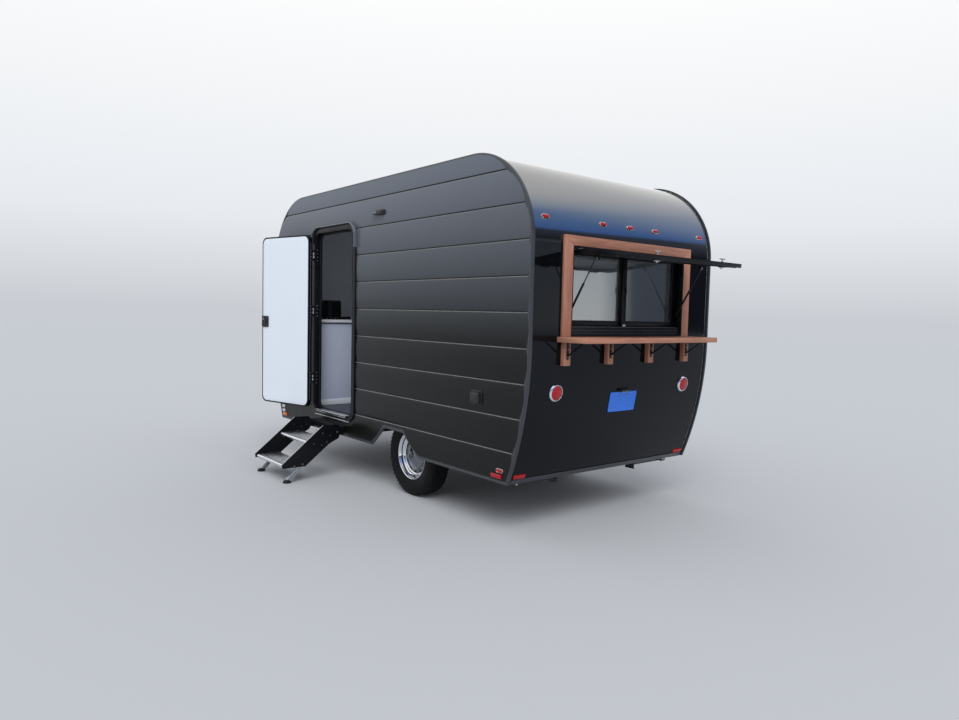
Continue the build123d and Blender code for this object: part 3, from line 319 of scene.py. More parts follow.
# A lens with fine prisms along all three axes
def prismLens(name, base):
    prisms = {"scale": 20.0, "strength": 0.5, "depth": 0.0012}
    lens = surface(name, base, 0.12, coat=0.25, vary=0.08, varyScale=60, specular=0.35)
    tree = lens.node_tree
    place, normal = nodeOut(tree, "ShaderNodeTexCoord", "Object"), None
    for direction in ("X", "Y", "Z"):
        band = nodeOut(tree, "ShaderNodeTexWave", "Fac", {"Scale": prisms["scale"], "Vector": place},
                       wave_type="BANDS", bands_direction=direction)
        normal = bumped(tree, band, prisms["strength"], prisms["depth"], normal)
    fill(tree.nodes["Principled BSDF"], {"Normal": normal})
    return lens


plainLooks = {
    # a lighter grey for the lip below each plank groove: painted highlight
    "lipPaint": dict(base=(124, 125, 124), rough=0.30, vary=0.1, varyScale=9, grain=0.1, grainScale=900),
    "insideWall": dict(base=(224, 227, 231), rough=0.5, vary=0.02, grain=0.1, grainScale=400),
    "mouldingTrim": dict(base=(50, 53, 59), rough=0.34, vary=0.06, grain=0.3, grainScale=700),
    "chassisPaint": dict(base=(32, 33, 35), rough=0.5, vary=0.2, varyScale=8, grain=0.5, grainScale=260),
    "zincSteel": dict(base=(184, 188, 192), rough=0.34, metal=1.0, varyScale=25, grain=0.2, grainScale=500),
    "darkSteel": dict(base=(52, 54, 58), rough=0.55, metal=0.6, vary=0.2, varyScale=14, grain=0.4),
    "tyreRubber": dict(base=(12, 12, 14), rough=0.66, vary=0.16, varyScale=7, grain=0.5, grainScale=420,
                       specular=0.22),
    "brightChrome": dict(base=(232, 235, 240), rough=0.07, metal=1.0, vary=0.03, roughVary=0.03),
    # a darker copy of the bright chrome for the wheel disc and cap: painted shade in their reflection
    "shadeChrome": dict(base=(132, 134, 140), rough=0.14, metal=1.0, vary=0.06, roughVary=0.03),
    "satinBlack": dict(base=(16, 17, 21), rough=0.32, vary=0.08, varyScale=5, grain=0.35, grainScale=600,
                       specular=0.18),
    "whiteLiner": dict(base=(216, 223, 232), rough=0.35, vary=0.015, varyScale=1.5, grain=0.08,
                       grainScale=350),
    "millAluminium": dict(base=(214, 216, 219), rough=0.30, metal=1.0, vary=0.06, varyScale=18, grain=0.3,
                          grainScale=600),
    "gutterMetal": dict(base=(104, 107, 113), rough=0.38, metal=0.4, vary=0.08, varyScale=12, grain=0.2,
                        grainScale=500),
    "plateBlue": dict(base=(18, 104, 214), rough=0.30, vary=0.03, varyScale=20, coat=0.3, grain=0.1),
    "floorVinyl": dict(base=(46, 52, 64), rough=0.42, varyScale=12, grain=0.2),
    "paleLaminate": dict(base=(196, 204, 224), rough=0.34, vary=0.02, varyScale=2, grain=0.06,
                         grainScale=240),
    "counterTop": dict(base=(220, 225, 232), rough=0.3, vary=0.03, varyScale=30, grain=0.05),
    "blackPlastic": dict(base=(23, 24, 27), rough=0.42, vary=0.08, grain=0.3, grainScale=900),
    "palePlastic": dict(base=(206, 208, 206), rough=0.3, vary=0.04, varyScale=30, grain=0.1),
    # black rubber; on the planks it is also the painted shadow in the grooves
    "blackRubber": dict(base=(24, 24, 26), rough=0.75, grain=0.4, grainScale=500),
}
finish = {name: surface(name, **looks) for name, looks in plainLooks.items()}
# the planks' painted sky reflection: dark near the skirt, lighter and bluer from a metre up to the roof
finish["plankPaint"] = fadedPaint("plankPaint", (98, 103, 113), skirtZ + 1.0, roofZ - 0.1, base=(16, 18, 16),
                                  rough=0.26, vary=0.05, varyScale=1.5, grain=0.12, grainScale=900,
                                  roughVary=0.04, wave=0.12, waveScale=1.4, specular=0.22)
finish["glossSkin"] = glossPaint("glossSkin")
for name, along in (("cedarLevel", "y"), ("cedarUpright", "z")):
    finish[name] = cedar(name, along)
finish["cedarDeep"] = cedar("cedarDeep", "x", (182, 132, 110), (156, 108, 88))
for name, shade in (("redLens", (158, 8, 20)), ("amberLens", (236, 122, 38)), ("clearLens", (226, 228, 230))):
    finish[name] = prismLens(name, shade)
finish["clearGlass"] = principled("clearGlass", {
    "Base Color": (0.86, 0.92, 0.92, 1), "Roughness": 0.02, "Transmission Weight": 1.0, "IOR": 1.02,
    "Specular IOR Level": 1.0, "Coat Weight": 1.0, "Coat IOR": 2.4, "Coat Roughness": 0.02})
print("materials ready:", len(finish))


# Mesh helpers

def smoothShade(mesh, angle=32):
    mesh.polygons.foreach_set("use_smooth", [True] * len(mesh.polygons))
    mesh.set_sharp_from_angle(angle=math.radians(angle))
    mesh.update()


# Doubles merged and faces turned outwards
def seal(mesh, angle=32):
    work = bmesh.new()
    work.from_mesh(mesh)
    bmesh.ops.remove_doubles(work, verts=work.verts, dist=1e-6)
    bmesh.ops.recalc_face_normals(work, faces=work.faces)
    work.to_mesh(mesh)
    work.free()
    smoothShade(mesh, angle)


def buildMesh(name, points, faces, materials, slots=None, seat=None, angle=32):
    mesh = bpy.data.meshes.new(name)
    mesh.from_pydata([tuple(point) for point in points], [], faces)
    for material in materials:
        mesh.materials.append(finish[material])
    if slots:
        mesh.polygons.foreach_set("material_index", slots)
    if seat:
        mesh.transform(seat)
    seal(mesh, angle)
    return placed(name, mesh)


# The finished piece rides on its body and may stand for CAD nodes
def settle(piece, body, slot, *nodes):
    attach(piece, body)
    if nodes:
        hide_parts(*nodes)
    return piece


# Modifiers become plain mesh, and the modifiers go
def bake(piece):
    bpy.context.view_layer.update()
    graph = bpy.context.evaluated_depsgraph_get()
    mesh = bpy.data.meshes.new_from_object(piece.evaluated_get(graph))
    old = piece.data
    piece.modifiers.clear()
    piece.data = mesh
    bpy.data.meshes.remove(old)
    mesh.name = piece.name
    return piece


# Edges sharper than 32 degrees get a small rounding, its width in mm
def eased(piece, width):
    ease = piece.modifiers.new("ease", "BEVEL")
    ease.width = width * mm
    ease.segments = 2
    ease.limit_method = "ANGLE"
    ease.angle_limit = math.radians(32)
    bake(piece)
    smoothShade(piece.data, 40)
    return piece


# A copy of a CAD node with its doubles merged, its edges eased and its round faces shaded smooth
def softened(node, material, slot, edge):
    source = frame["nodes"][node]
    mesh = source.data.copy()
    work = bmesh.new()
    work.from_mesh(mesh)
    bmesh.ops.remove_doubles(work, verts=work.verts, dist=1e-5)
    bmesh.ops.dissolve_limit(work, angle_limit=math.radians(1.0), verts=work.verts, edges=work.edges)
    work.to_mesh(mesh)
    work.free()
    mesh.materials.clear()
    mesh.materials.append(finish[material])
    mesh.polygons.foreach_set("material_index", [0] * len(mesh.polygons))
    smoothShade(mesh)
    piece = placed(node + "Looks", mesh)
    if edge:
        eased(piece, edge)
    return settle(piece, source["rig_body"], slot, node)


def dropped(piece):
    mesh = piece.data
    bpy.data.objects.remove(piece)
    bpy.data.meshes.remove(mesh)


# Several finished pieces of one body made into one
def joined(name, pieces):
    first = pieces[0]
    with bpy.context.temp_override(active_object=first, selected_editable_objects=pieces, object=first,
                                   selected_objects=pieces):
        bpy.ops.object.join()
    first.name = first.data.name = name
    return first


# The same piece mirrored to the other side
def mirrored(piece, name):
    mesh = piece.data.copy()
    mesh.name = name
    mesh.transform(Matrix.Scale(-1, 4, (0, 1, 0)))
    mesh.flip_normals()
    return placed(name, mesh)


# A seat has its origin at spot, its z along out and its y as near to up as it can be
def seatAt(spot, out, up=(0, 0, 1)):
    z = Vector(out).normalized()
    x = Vector(up).cross(z).normalized()
    return Matrix.Translation(spot) @ Matrix((x, z.cross(x), z)).transposed().to_4x4()


# A seat moved by millimetres along its own axes
def shifted(seat, x=0, y=0, z=0):
    return seat @ Matrix.Translation((x * mm, y * mm, z * mm))


# sideSeat raises a drawing in x and z along y; endSeat one in y and z along x, to the rear unless way is 1
def sideSeat(y, way=1):
    return Matrix(((1, 0, 0, 0), (0, 0, way, y), (0, 1, 0, 0), (0, 0, 0, 1)))


def endSeat(x, way=-1):
    return Matrix(((0, 0, way, x), (1, 0, 0, 0), (0, 1, 0, 0), (0, 0, 0, 1)))


def roundedRing(wide, tall, radius, inset=0.0, centre=(0, 0), steps=5):
    half, rise = wide / 2 - inset, tall / 2 - inset
    turn = max(min(radius - inset, half, rise), 0.0001)
    points = []
    for quarter, (across, up) in enumerate(((1, 1), (-1, 1), (-1, -1), (1, -1))):
        for step in range(steps + 1):
            angle = math.pi / 2 * (quarter + step / steps)
            points.append((centre[0] + across * (half - turn) + turn * math.cos(angle),
                           centre[1] + up * (rise - turn) + turn * math.sin(angle)))
    return points


# Faces between rings of as many points each, capped at both ends or closed on themselves
def ringFaces(rings, count, closed=False):
    faces = []
    for row in range(rings if closed else rings - 1):
        low, high = row * count, (row + 1) % rings * count
        for index in range(count):
            beside = (index + 1) % count
            faces.append((low + index, low + beside, high + beside, high + index))
    if not closed:
        last = (rings - 1) * count
        faces += [tuple(range(count))[::-1], tuple(range(last, last + count))]
    return faces


# A pad grows from its seat through rounded rings, each (inset, height) in mm
def pad(name, size, rings, seat, material, steps=5):
    wide, tall, radius = (value * mm for value in size)
    points = [(x, y, height * mm) for inset, height in rings
              for x, y in roundedRing(wide, tall, radius, inset * mm, steps=steps)]
    return buildMesh(name, points, ringFaces(len(rings), 4 * (steps + 1)), [material], None, seat)


# An outline in mm drawn on the seat, grown through rings of (scale, height)
def tapered(name, outline, rings, seat, material):
    points = [(x * scale * mm, y * scale * mm, height * mm) for scale, height in rings for x, y in outline]
    return buildMesh(name, points, ringFaces(len(rings), len(outline)), [material], None, seat, 40)


# A turned piece: its section, (radius, height) in mm, spins about the seat's z
def turned(name, section, seat, material, count=32, closed=False, angle=32):
    turns = [math.tau * index / count for index in range(count)]
    points = [(radius * mm * math.cos(turn), radius * mm * math.sin(turn), height * mm)
              for radius, height in section for turn in turns]
    return buildMesh(name, points, ringFaces(len(section), count, closed), [material], None, seat, angle)


# A prism: an outline in metres drawn on the seat, raised between two heights in mm
def prism(name, outline, low, high, seat, material, edge=0.0):
    points = [(x, y, height * mm) for height in (low, high) for x, y in outline]
    piece = buildMesh(name, points, ringFaces(2, len(outline)), [material], None, seat)
    return eased(piece, edge) if edge else piece


def slab(name, low, high, material, edge=0.0):
    outline = [(low[0], low[1]), (high[0], low[1]), (high[0], high[1]), (low[0], high[1])]
    return prism(name, outline, low[2] / mm, high[2] / mm, None, material, edge)


# A fitting made of rows: (shift of the seat in mm, size, rings, material, steps) is a pad,
# (shift, None, section, material, sides) a turned part
def fitting(name, seat, rows, body, slot, *nodes):
    parts = []
    for shift, size, rings, material, count in rows:
        spot = shifted(seat, *shift)
        parts.append(pad(name + "Pad", size, rings, spot, material, count) if size else
                     turned(name + "Turn", rings, spot, material, count))
    return settle(joined(name, parts), body, slot, *nodes)


# Geometry Nodes trees. Each makes what repeats or follows a path and is baked to plain mesh at once.

def growTree(name, **sockets):
    tree = bpy.data.node_groups.new(name, "GeometryNodeTree")
    for label, kind in {"Geometry": "Geometry", **sockets, "Material": "Material"}.items():
        tree.interface.new_socket(label, in_out="INPUT", socket_type="NodeSocket" + kind)
    tree.interface.new_socket("Geometry", in_out="OUTPUT", socket_type="NodeSocketGeometry")
    return tree, tree.nodes.new("NodeGroupInput").outputs


# Everything ends in real geometry with its material
def closeTree(tree, given, geometry):
    real = nodeOut(tree, "GeometryNodeRealizeInstances", "Geometry", {"Geometry": geometry})
    dressed = nodeOut(tree, "GeometryNodeSetMaterial", "Geometry",
                      {"Geometry": real, "Material": given["Material"]})
    addNode(tree, "NodeGroupOutput", {"Geometry": dressed})
    return tree


def sweepTree():
    tree, given = growTree("sweep", Rail="Object", Section="Object", Caps="Bool")
    rail, loop = (nodeOut(tree, "GeometryNodeObjectInfo", "Geometry", {"Object": given[label]})
                  for label in ("Rail", "Section"))
    return closeTree(tree, given, nodeOut(tree, "GeometryNodeCurveToMesh", "Mesh", {
        "Curve": rail, "Profile Curve": loop, "Fill Caps": given["Caps"]}))


# A value times the number of the point
def byIndex(tree, value):
    return nodeOut(tree, "ShaderNodeMath", 0, {0: nodeOut(tree, "GeometryNodeInputIndex", 0), 1: value},
                   operation="MULTIPLY")


# Heads set on points, each turned to its point's aim and by a little more about itself
def studTree():
    tree, given = growTree("studs", Head="Object", Turn="Float")
    aim, size = (nodeOut(tree, "GeometryNodeInputNamedAttribute", "Attribute", {"Name": label},
                         data_type=kind) for label, kind in (("aim", "FLOAT_VECTOR"), ("size", "FLOAT")))
    turn = nodeOut(tree, "FunctionNodeRotateRotation", "Rotation", {
        "Rotation": nodeOut(tree, "FunctionNodeAlignRotationToVector", "Rotation", {"Vector": aim}, axis="Z"),
        "Rotate By": nodeOut(tree, "FunctionNodeAxisAngleToRotation", "Rotation",
                             {"Angle": byIndex(tree, given["Turn"])}),
    }, rotation_space="LOCAL")
    return closeTree(tree, given, nodeOut(tree, "GeometryNodeInstanceOnPoints", "Instances", {
        "Points": given["Geometry"], "Rotation": turn, "Scale": size,
        "Instance": nodeOut(tree, "GeometryNodeObjectInfo", "Geometry", {"Object": given["Head"]})}))


# An item repeated by a step, and turned by an angle each time about z through the origin
def repeatTree():
    tree, given = growTree("repeats", Item="Object", Count="Int", Step="Vector", Angle="Float")
    row = {"Count": given["Count"], "Offset": given["Step"]}
    turn = {"Angle": byIndex(tree, given["Angle"])}
    return closeTree(tree, given, nodeOut(tree, "GeometryNodeInstanceOnPoints", "Instances", {
        "Points": nodeOut(tree, "GeometryNodeMeshLine", "Mesh", row),
        "Instance": nodeOut(tree, "GeometryNodeObjectInfo", "Geometry", {"Object": given["Item"]}),
        "Rotation": nodeOut(tree, "FunctionNodeAxisAngleToRotation", "Rotation", turn)}))


trees = {"sweep": sweepTree(), "studs": studTree(), "repeats": repeatTree()}


def grown(piece, kind, material, values):
    tree = trees[kind]
    grow = piece.modifiers.new(kind, "NODES")
    grow.node_group = tree
    values["Material"] = finish[material]
    for item in tree.interface.items_tree:
        if item.in_out == "INPUT" and item.name in values:
            grow[item.identifier] = values[item.name]
    return bake(piece)


def railObject(name, points, closed):
    line = bpy.data.curves.new(name, "CURVE")
    line.dimensions = "3D"
    spline = line.splines.new("POLY")
    spline.points.add(len(points) - 1)
    spline.points.foreach_set("co", [value for x, y in points for value in (x, y, 0, 1)])
    spline.use_cyclic_u = closed
    return placed(name, line)


# A section of (left of the path, raised) in mm follows a path drawn on the seat in metres
def sweep(name, path, section, seat, material, closed=True, angle=32):
    rail = railObject(name + "Rail", path, closed)
    outline = railObject(name + "Section", [(-left * mm, -up * mm) for left, up in section], True)
    piece = grown(placed(name, bpy.data.meshes.new(name)), "sweep", material,
                  {"Rail": rail, "Section": outline, "Caps": not closed})
    for line in (rail, outline):
        bpy.data.curves.remove(line.data)
    piece.data.transform(seat)
    seal(piece.data, angle)
    return piece


screwHeads = {
    # (radius, height) as shares of the size
    "round": [(1.0, 0.0), (1.0, 0.16), (0.86, 0.42), (0.5, 0.56), (0.3, 0.58), (0.24, 0.34)],
    "bolt": [(1.0, 0.0), (1.0, 0.5), (0.92, 0.62), (0.4, 0.64), (0.3, 0.62)],
    "rivet": [(1.0, 0.0), (0.92, 0.26), (0.66, 0.46), (0.3, 0.55), (0.12, 0.56)],
}


# Rows of (spot, direction, radius in mm) carry screws, bolts or rivets
def studs(name, rows, material, body, slot, head="round", sides=12):
    section = [(radius / mm, height / mm) for radius, height in screwHeads[head]]
    shape = turned(name + "Head", section, None, material, sides, angle=40)
    mesh = bpy.data.meshes.new(name)
    mesh.from_pydata([tuple(row[0]) for row in rows], [], [])
    aims = [value for row in rows for value in Vector(row[1]).normalized()]
    mesh.attributes.new("aim", "FLOAT_VECTOR", "POINT").data.foreach_set("vector", aims)
    mesh.attributes.new("size", "FLOAT", "POINT").data.foreach_set("value", [row[2] * mm for row in rows])
    piece = grown(placed(name, mesh), "studs", material, {"Head": shape, "Turn": 1.1})
    dropped(shape)
    smoothShade(piece.data, 40)
    return settle(piece, body, slot)


# The item is used up; it repeats by a step in metres or by an angle about the seat's z
def repeated(name, item, count, material, step=(0, 0, 0), angle=0.0, seat=None):
    piece = grown(placed(name, bpy.data.meshes.new(name)), "repeats", material,
                  {"Item": item, "Count": count, "Step": step, "Angle": angle})
    dropped(item)
    if seat:
        piece.data.transform(seat)
    smoothShade(piece.data)
    return piece


# The side profile: lines and arcs

def arcPoints(centre, radius, start, end, step=1.5):
    count = max(1, round(abs(end - start) / step))
    for index in range(count + 1):
        angle = math.radians(start + (end - start) * index / count)
        yield (centre[0] + radius * math.cos(angle), centre[1] + radius * math.sin(angle))


# From the rear foot over the roof to the front foot, as (x, z)
def sideProfile(inset, bottom):
    tuck, corner = shell["tuck"] - inset, shell["corner"] - inset
    turn = math.degrees(math.asin((tuckZ - bottom) / tuck))
    points = list(arcPoints((rearX + shell["tuck"], tuckZ), tuck, 180 + turn, 180))
    points += arcPoints((rearX + shell["corner"], shoulderZ), corner, 180, 90)
    points += arcPoints((frontX - shell["corner"], shoulderZ), corner, 90, 0)
    points += arcPoints((frontX - shell["tuck"], tuckZ), tuck, 0, -turn)
    return points


# Where the rear edge lies at a height
def rearEdge(z, inset):
    if z < tuckZ:
        return rearX + shell["tuck"] - math.sqrt((shell["tuck"] - inset) ** 2 - (tuckZ - z) ** 2)
    if z > shoulderZ:
        radius = shell["corner"] - inset
        return rearX + shell["corner"] - math.sqrt(max(radius ** 2 - (z - shoulderZ) ** 2, 0))
    return rearX + inset


# Outwards from the curved skin at a point of it
def skinWay(x, z):
    way = -1 if x < (rearX + frontX) / 2 else 1
    end = rearX if way < 0 else frontX
    if z > shoulderZ:
        over = x - (end - way * shell["corner"])
        return Vector((over, 0, z - shoulderZ)).normalized() if over * way >= 0 else Vector((0, 0, 1))
    if z < tuckZ:
        return Vector((x - (end - way * shell["tuck"]), 0, z - tuckZ)).normalized()
    return Vector((way, 0, 0))


# A seat on the rear skin at a height, its z outwards
def rearSkinSeat(y, z, proud=0.0):
    x = rearEdge(z, shell["skinInset"])
    out = skinWay(x, z)
    return seatAt(Vector((x, y, z)) + out * proud, out)


# Two grids of points, wide columns each, joined into a closed shell with cells left out
def gridShell(name, outer, inner, wide, solid, materials):
    rows, half = len(outer) // wide, len(outer)
    faces, slots = [], []

    def there(row, column):
        return 0 <= row < rows - 1 and 0 <= column < wide - 1 and solid(row, column)

    for row in range(rows - 1):
        for column in range(wide - 1):
            if not there(row, column):
                continue
            a, b = row * wide + column, row * wide + column + 1
            c, d = b + wide, a + wide
            faces += [(a, b, c, d), (half + a, half + d, half + c, half + b)]
            slots += [0, 1]
            for beside, (p, q) in (((row - 1, column), (a, b)), ((row + 1, column), (c, d)),
                                   ((row, column - 1), (d, a)), ((row, column + 1), (b, c))):
                if not there(*beside):
                    faces.append((q, p, half + p, half + q))
                    slots.append(2 if len(materials) > 2 else 0)
    return buildMesh(name, outer + inner, faces, materials, slots, None, 30)


# A stretch of the wrapped skin between two heights, with an optional window (y0, y1, z0, z1)
def skinPanel(name, node, low, high, front, opening=None):
    outer = sideProfile(shell["skinInset"], skirtZ)
    inner = sideProfile(shell["skinInset"] + shell["thickness"], skirtZ)
    middle = (rearX + frontX) / 2
    keep = [index for index, (x, z) in enumerate(outer)
            if low - 1e-5 <= z <= high + 1e-5 and (front is None or (x > middle) == front)]
    outer, inner = [outer[index] for index in keep], [inner[index] for index in keep]
    columns = [-innerY, innerY]
    if opening:
        columns = [-innerY, opening[0], opening[1], innerY]
        for path, inset in ((outer, 0), (inner, shell["thickness"])):
            for z in opening[2:]:
                place = next(index for index, point in enumerate(path) if point[1] > z)
                path.insert(place, (rearX + shell["skinInset"] + inset, z))

    def solid(row, column):
        z = (outer[row][1] + outer[row + 1][1]) / 2
        return not (opening and column == 1 and opening[2] < z < opening[3])

    grids = [[(x, y, z) for x, z in path for y in columns] for path in (outer, inner)]
    piece = gridShell(name, *grids, len(columns), solid, ["glossSkin", "insideWall"])
    mesh = piece.data
    normals = [None] * len(mesh.loops)
    for face in mesh.polygons:
        for loop in face.loop_indices:
            spot = mesh.vertices[mesh.loops[loop].vertex_index].co
            way = skinWay(spot.x, spot.z)
            facing = way.dot(face.normal)
            normals[loop] = way if facing > 0.9 else (-way if facing < -0.9 else face.normal)
    mesh.normals_split_custom_set(normals)
    settle(piece, "trailer", "skin_black", node)


windowHole = (windowLow.y, windowHigh.y, windowLow.z, windowHigh.z)
skinPanel("rearSkin", "rear_wall", skirtZ, shoulderZ, False, windowHole)
skinPanel("frontSkin", "front_wall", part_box("front_wall")[0].z, shoulderZ, True)
skinPanel("roofSkin", "roof", shoulderZ, roofZ, None)
print("skins wrapped")


# Plank sides: a crowned face over every plank, rounded into V grooves, with wheel cut-out and doorway

planks = {
    "lowestGroove": 0.610, "pitch": 0.246,
    "under": 0.014,  # the field runs this far under the mouldings
    # distance from the middle of a groove, depth behind the fullest part of a plank, in mm
    "section": [(0, 12), (3.2, 11.8), (4.2, 9.4), (5.4, 7.4), (7.2, 5.9), (9.6, 5.2), (13, 4.7), (18, 4.2),
                (26, 3.5), (45, 2.2), (72, 0.9), (100, 0.2), (123, 0)],
    # the run above the middle of a groove, painted dark as shadow, and the lip below it, painted light as
    # highlight, in mm
    "shadow": 7.4, "lip": 5.6,
    # from the wheel's centre, in metres
    "archFootAhead": 0.485, "archTopAhead": 0.280, "archTopBehind": 0.030, "archFootBehind": 0.260,
    "archTop": 0.552, "archFillet": 0.045,
    "doorCut": 0.012, "doorCorner": 0.087,
}
doorway = {
    "rear": doorLow.x + 0.060, "front": doorHigh.x - 0.060,
    "foot": doorLow.z + 0.055, "head": doorHigh.z - 0.064,
    "corner": 0.075, "flange": 0.055, "proud": 12,
}
doorCentre = ((doorway["rear"] + doorway["front"]) / 2, (doorway["foot"] + doorway["head"]) / 2)
doorSize = (doorway["front"] - doorway["rear"], doorway["head"] - doorway["foot"])


def plankSide(left):
    under, pitch, section, cut = (planks[key] for key in ("under", "pitch", "section", "doorCut"))
    low, high = skirtZ + under, roofZ - under - 0.0005
    foot, head, corner = doorway["foot"] - cut, doorway["head"] + cut, planks["doorCorner"]
    archTop = above(planks["archTop"]) + under
    rise = planks["archTop"] - (skirtZ - groundZ)
    grooves = [above(planks["lowestGroove"] + row * pitch) for row in range(-1, 10)]
    heights = {low, high, archTop}
    heights.update(groove + side * distance * mm for groove in grooves for side in (-1, 1)
                   for distance, _ in section)
    for step in range(7):
        bend = corner * (1 - math.cos(math.radians(15 * step)))
        heights.update((foot + bend, head - bend))
    levels = []
    for z in sorted(z for z in heights if low <= z <= high):
        if not levels or z - levels[-1] > 0.0003:
            levels.append(z)

    def outwards(z):
        near = min(abs(z - groove) for groove in grooves) / mm
        for (d0, v0), (d1, v1) in zip(section, section[1:]):
            if near <= d1:
                return sideY - (v0 + (v1 - v0) * (near - d0) / (d1 - d0)) * mm
        return sideY

    # one edge of the wheel cut-out at a height, way 1 ahead of the wheel and -1 behind it
    def archEdge(place, way, climb):
        reach = planks["archFoot" + place]
        lean = reach - planks["archTop" + place]
        return wheelSpot.x + way * (reach - lean * climb / rise + under * math.hypot(lean, rise) / rise)

    def columns(z):
        climb = min(z, archTop) - skirtZ
        near = min(max(min(z - foot, head - z), 0), corner)
        bend = corner - math.sqrt(corner ** 2 - (corner - near) ** 2)
        rear = rearEdge(z, under)
        return [rear, archEdge("Behind", -1, climb), archEdge("Ahead", 1, climb),
                doorway["rear"] - cut + bend, doorway["front"] + cut - bend, frontX - (rear - rearX)]

    def solid(row, column):
        z = (levels[row] + levels[row + 1]) / 2
        if column == 1:
            return z > archTop
        return not (left and column == 3 and foot < z < head)

    side = 1 if left else -1
    outer = [(x, side * outwards(z), z) for z in levels for x in columns(z)]
    inner = [(x, side * innerY, z) for z in levels for x in columns(z)]
    piece = gridShell("planksLeft" if left else "planksRight", outer, inner, 6, solid,
                      ["plankPaint", "insideWall", "blackRubber"])
    piece.data.materials.append(finish["lipPaint"])
    # in every groove the overhung side is painted dark as shadow and the lip below it painted light as
    # highlight
    for face in piece.data.polygons:
        rise = min((face.center.z - groove for groove in grooves), key=abs) / mm
        if face.material_index == 0 and -planks["lip"] < rise < planks["shadow"]:
            face.material_index = 2 if rise > 0 else 3
    settle(piece, "trailer", "side_plank", "side_wall_left" if left else "side_wall_right")


plankSide(True)
plankSide(False)


# The edge moulding follows the profile, the skirt and the wheel cut-out

def archPath():
    top, fillet = above(planks["archTop"]), planks["archFillet"]
    spots = [Vector((wheelSpot.x + reach, z)) for reach, z in (
        (planks["archFootAhead"], skirtZ), (planks["archTopAhead"], top),
        (-planks["archTopBehind"], top), (-planks["archFootBehind"], skirtZ))]
    points = [tuple(spots[0])]
    for before, corner, after in (spots[:3], spots[1:]):
        way0, way1 = (before - corner).normalized(), (after - corner).normalized()
        half = way0.angle(way1) / 2
        centre = corner + (way0 + way1).normalized() * fillet / math.sin(half)
        reach = fillet / math.tan(half)
        start, end = corner + way0 * reach - centre, corner + way1 * reach - centre
        points += [tuple(centre + start.lerp(end, step / 6).normalized() * fillet) for step in range(7)]
    return points + [tuple(spots[3])]


def edgeMouldings():
    # left of the path is outside; (left, raised) from 5 mm behind the planks, in mm
    section = [(-32, 29), (-32, 40), (-31, 42.4), (-29, 43), (-27, 41.6), (-25, 41), (-22.5, 42.4),
               (-18, 44.4), (-13, 45), (-7.5, 44), (-3, 41), (-0.8, 36.5), (0, 31), (0, 22), (-1.2, 20),
               (-14.5, 20), (-14.5, 29)]
    path = sideProfile(0, skirtZ) + archPath()
    piece = sweep("mouldingLeft", path, section, sideSeat(innerY - 5 * mm), "mouldingTrim", angle=40)
    settle(mirrored(piece, "mouldingRight"), "trailer", "moulding", "moulding_right")
    settle(piece, "trailer", "moulding", "moulding_left")


edgeMouldings()
print("plank sides and mouldings ready")


# Wooden surround, shelf and blocks; every board's grain runs along it

def woodwork():
    wood = {"blocks": (-0.692, -0.237, 0.237, 0.692), "blockHalf": 0.031, "bracketScrews": (0.052, 0.104),
            "uprightScrews": (1.52, 1.80, 2.04), "headScrews": (-0.5, -0.17, 0.17, 0.5)}
    low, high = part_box("wood_surround")
    back, seat, thick = low.x, endSeat(high.x), (high.x - low.x) / mm
    inner, outer, top, head = windowHigh.y, high.y, high.z, windowHigh.z
    gap = 0.4 * mm
    upright = prism("upright", [(inner, low.z), (outer, low.z), (outer, top), (inner, head)], 0, thick, seat,
                    "cedarUpright", 1.6)
    headBoard = prism("headBoard", [(-outer + gap, top), (-inner + gap, head), (inner - gap, head),
                                    (outer - gap, top)], 0, thick, seat, "cedarLevel", 1.6)
    boards = [upright, mirrored(upright, "uprightTwin"), headBoard]
    settle(joined("surroundBoards", boards), "trailer", "board_wood", "wood_surround")

    shelf = slab("shelfBoard", *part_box("shelf"), "cedarLevel", 4)
    shelf.data.materials.append(finish["cedarDeep"])
    for face in shelf.data.polygons:
        if abs(face.normal.y) > 0.7:
            face.material_index = 1
    settle(shelf, "trailer", "board_wood", "shelf")

    low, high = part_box("shelf_blocks")
    half = wood["blockHalf"]
    blocks = [slab("block", (low.x, y - half, low.z), (high.x, y + half, high.z), "cedarUpright", 2.5)
              for y in wood["blocks"]]
    settle(joined("shelfBlocks", blocks), "trailer", "board_wood", "shelf_blocks")
    softened("shelf_brackets", "satinBlack", "door_black", 0.8)
    rear = (-1, 0, 0)
    screws = [((low.x - 4 * mm, y, high.z - drop), rear, 4.2)
              for y in wood["blocks"] for drop in wood["bracketScrews"]]
    studs("bracketScrews", screws, "zincSteel", "trailer", "galvanised")
    screws = [((back, side * (inner + outer) / 2, above(z)), rear, 3.2)
              for z in wood["uprightScrews"] for side in (-1, 1)]
    screws += [((back, y, (top + head) / 2), rear, 3.2) for y in wood["headScrews"]]
    studs("boardScrews", screws, "cedarLevel", "trailer", "board_wood", "rivet")


woodwork()
print("woodwork ready")


# Serving window: frame, sliding sashes with gaskets, track lines, hooks and a small pale catch

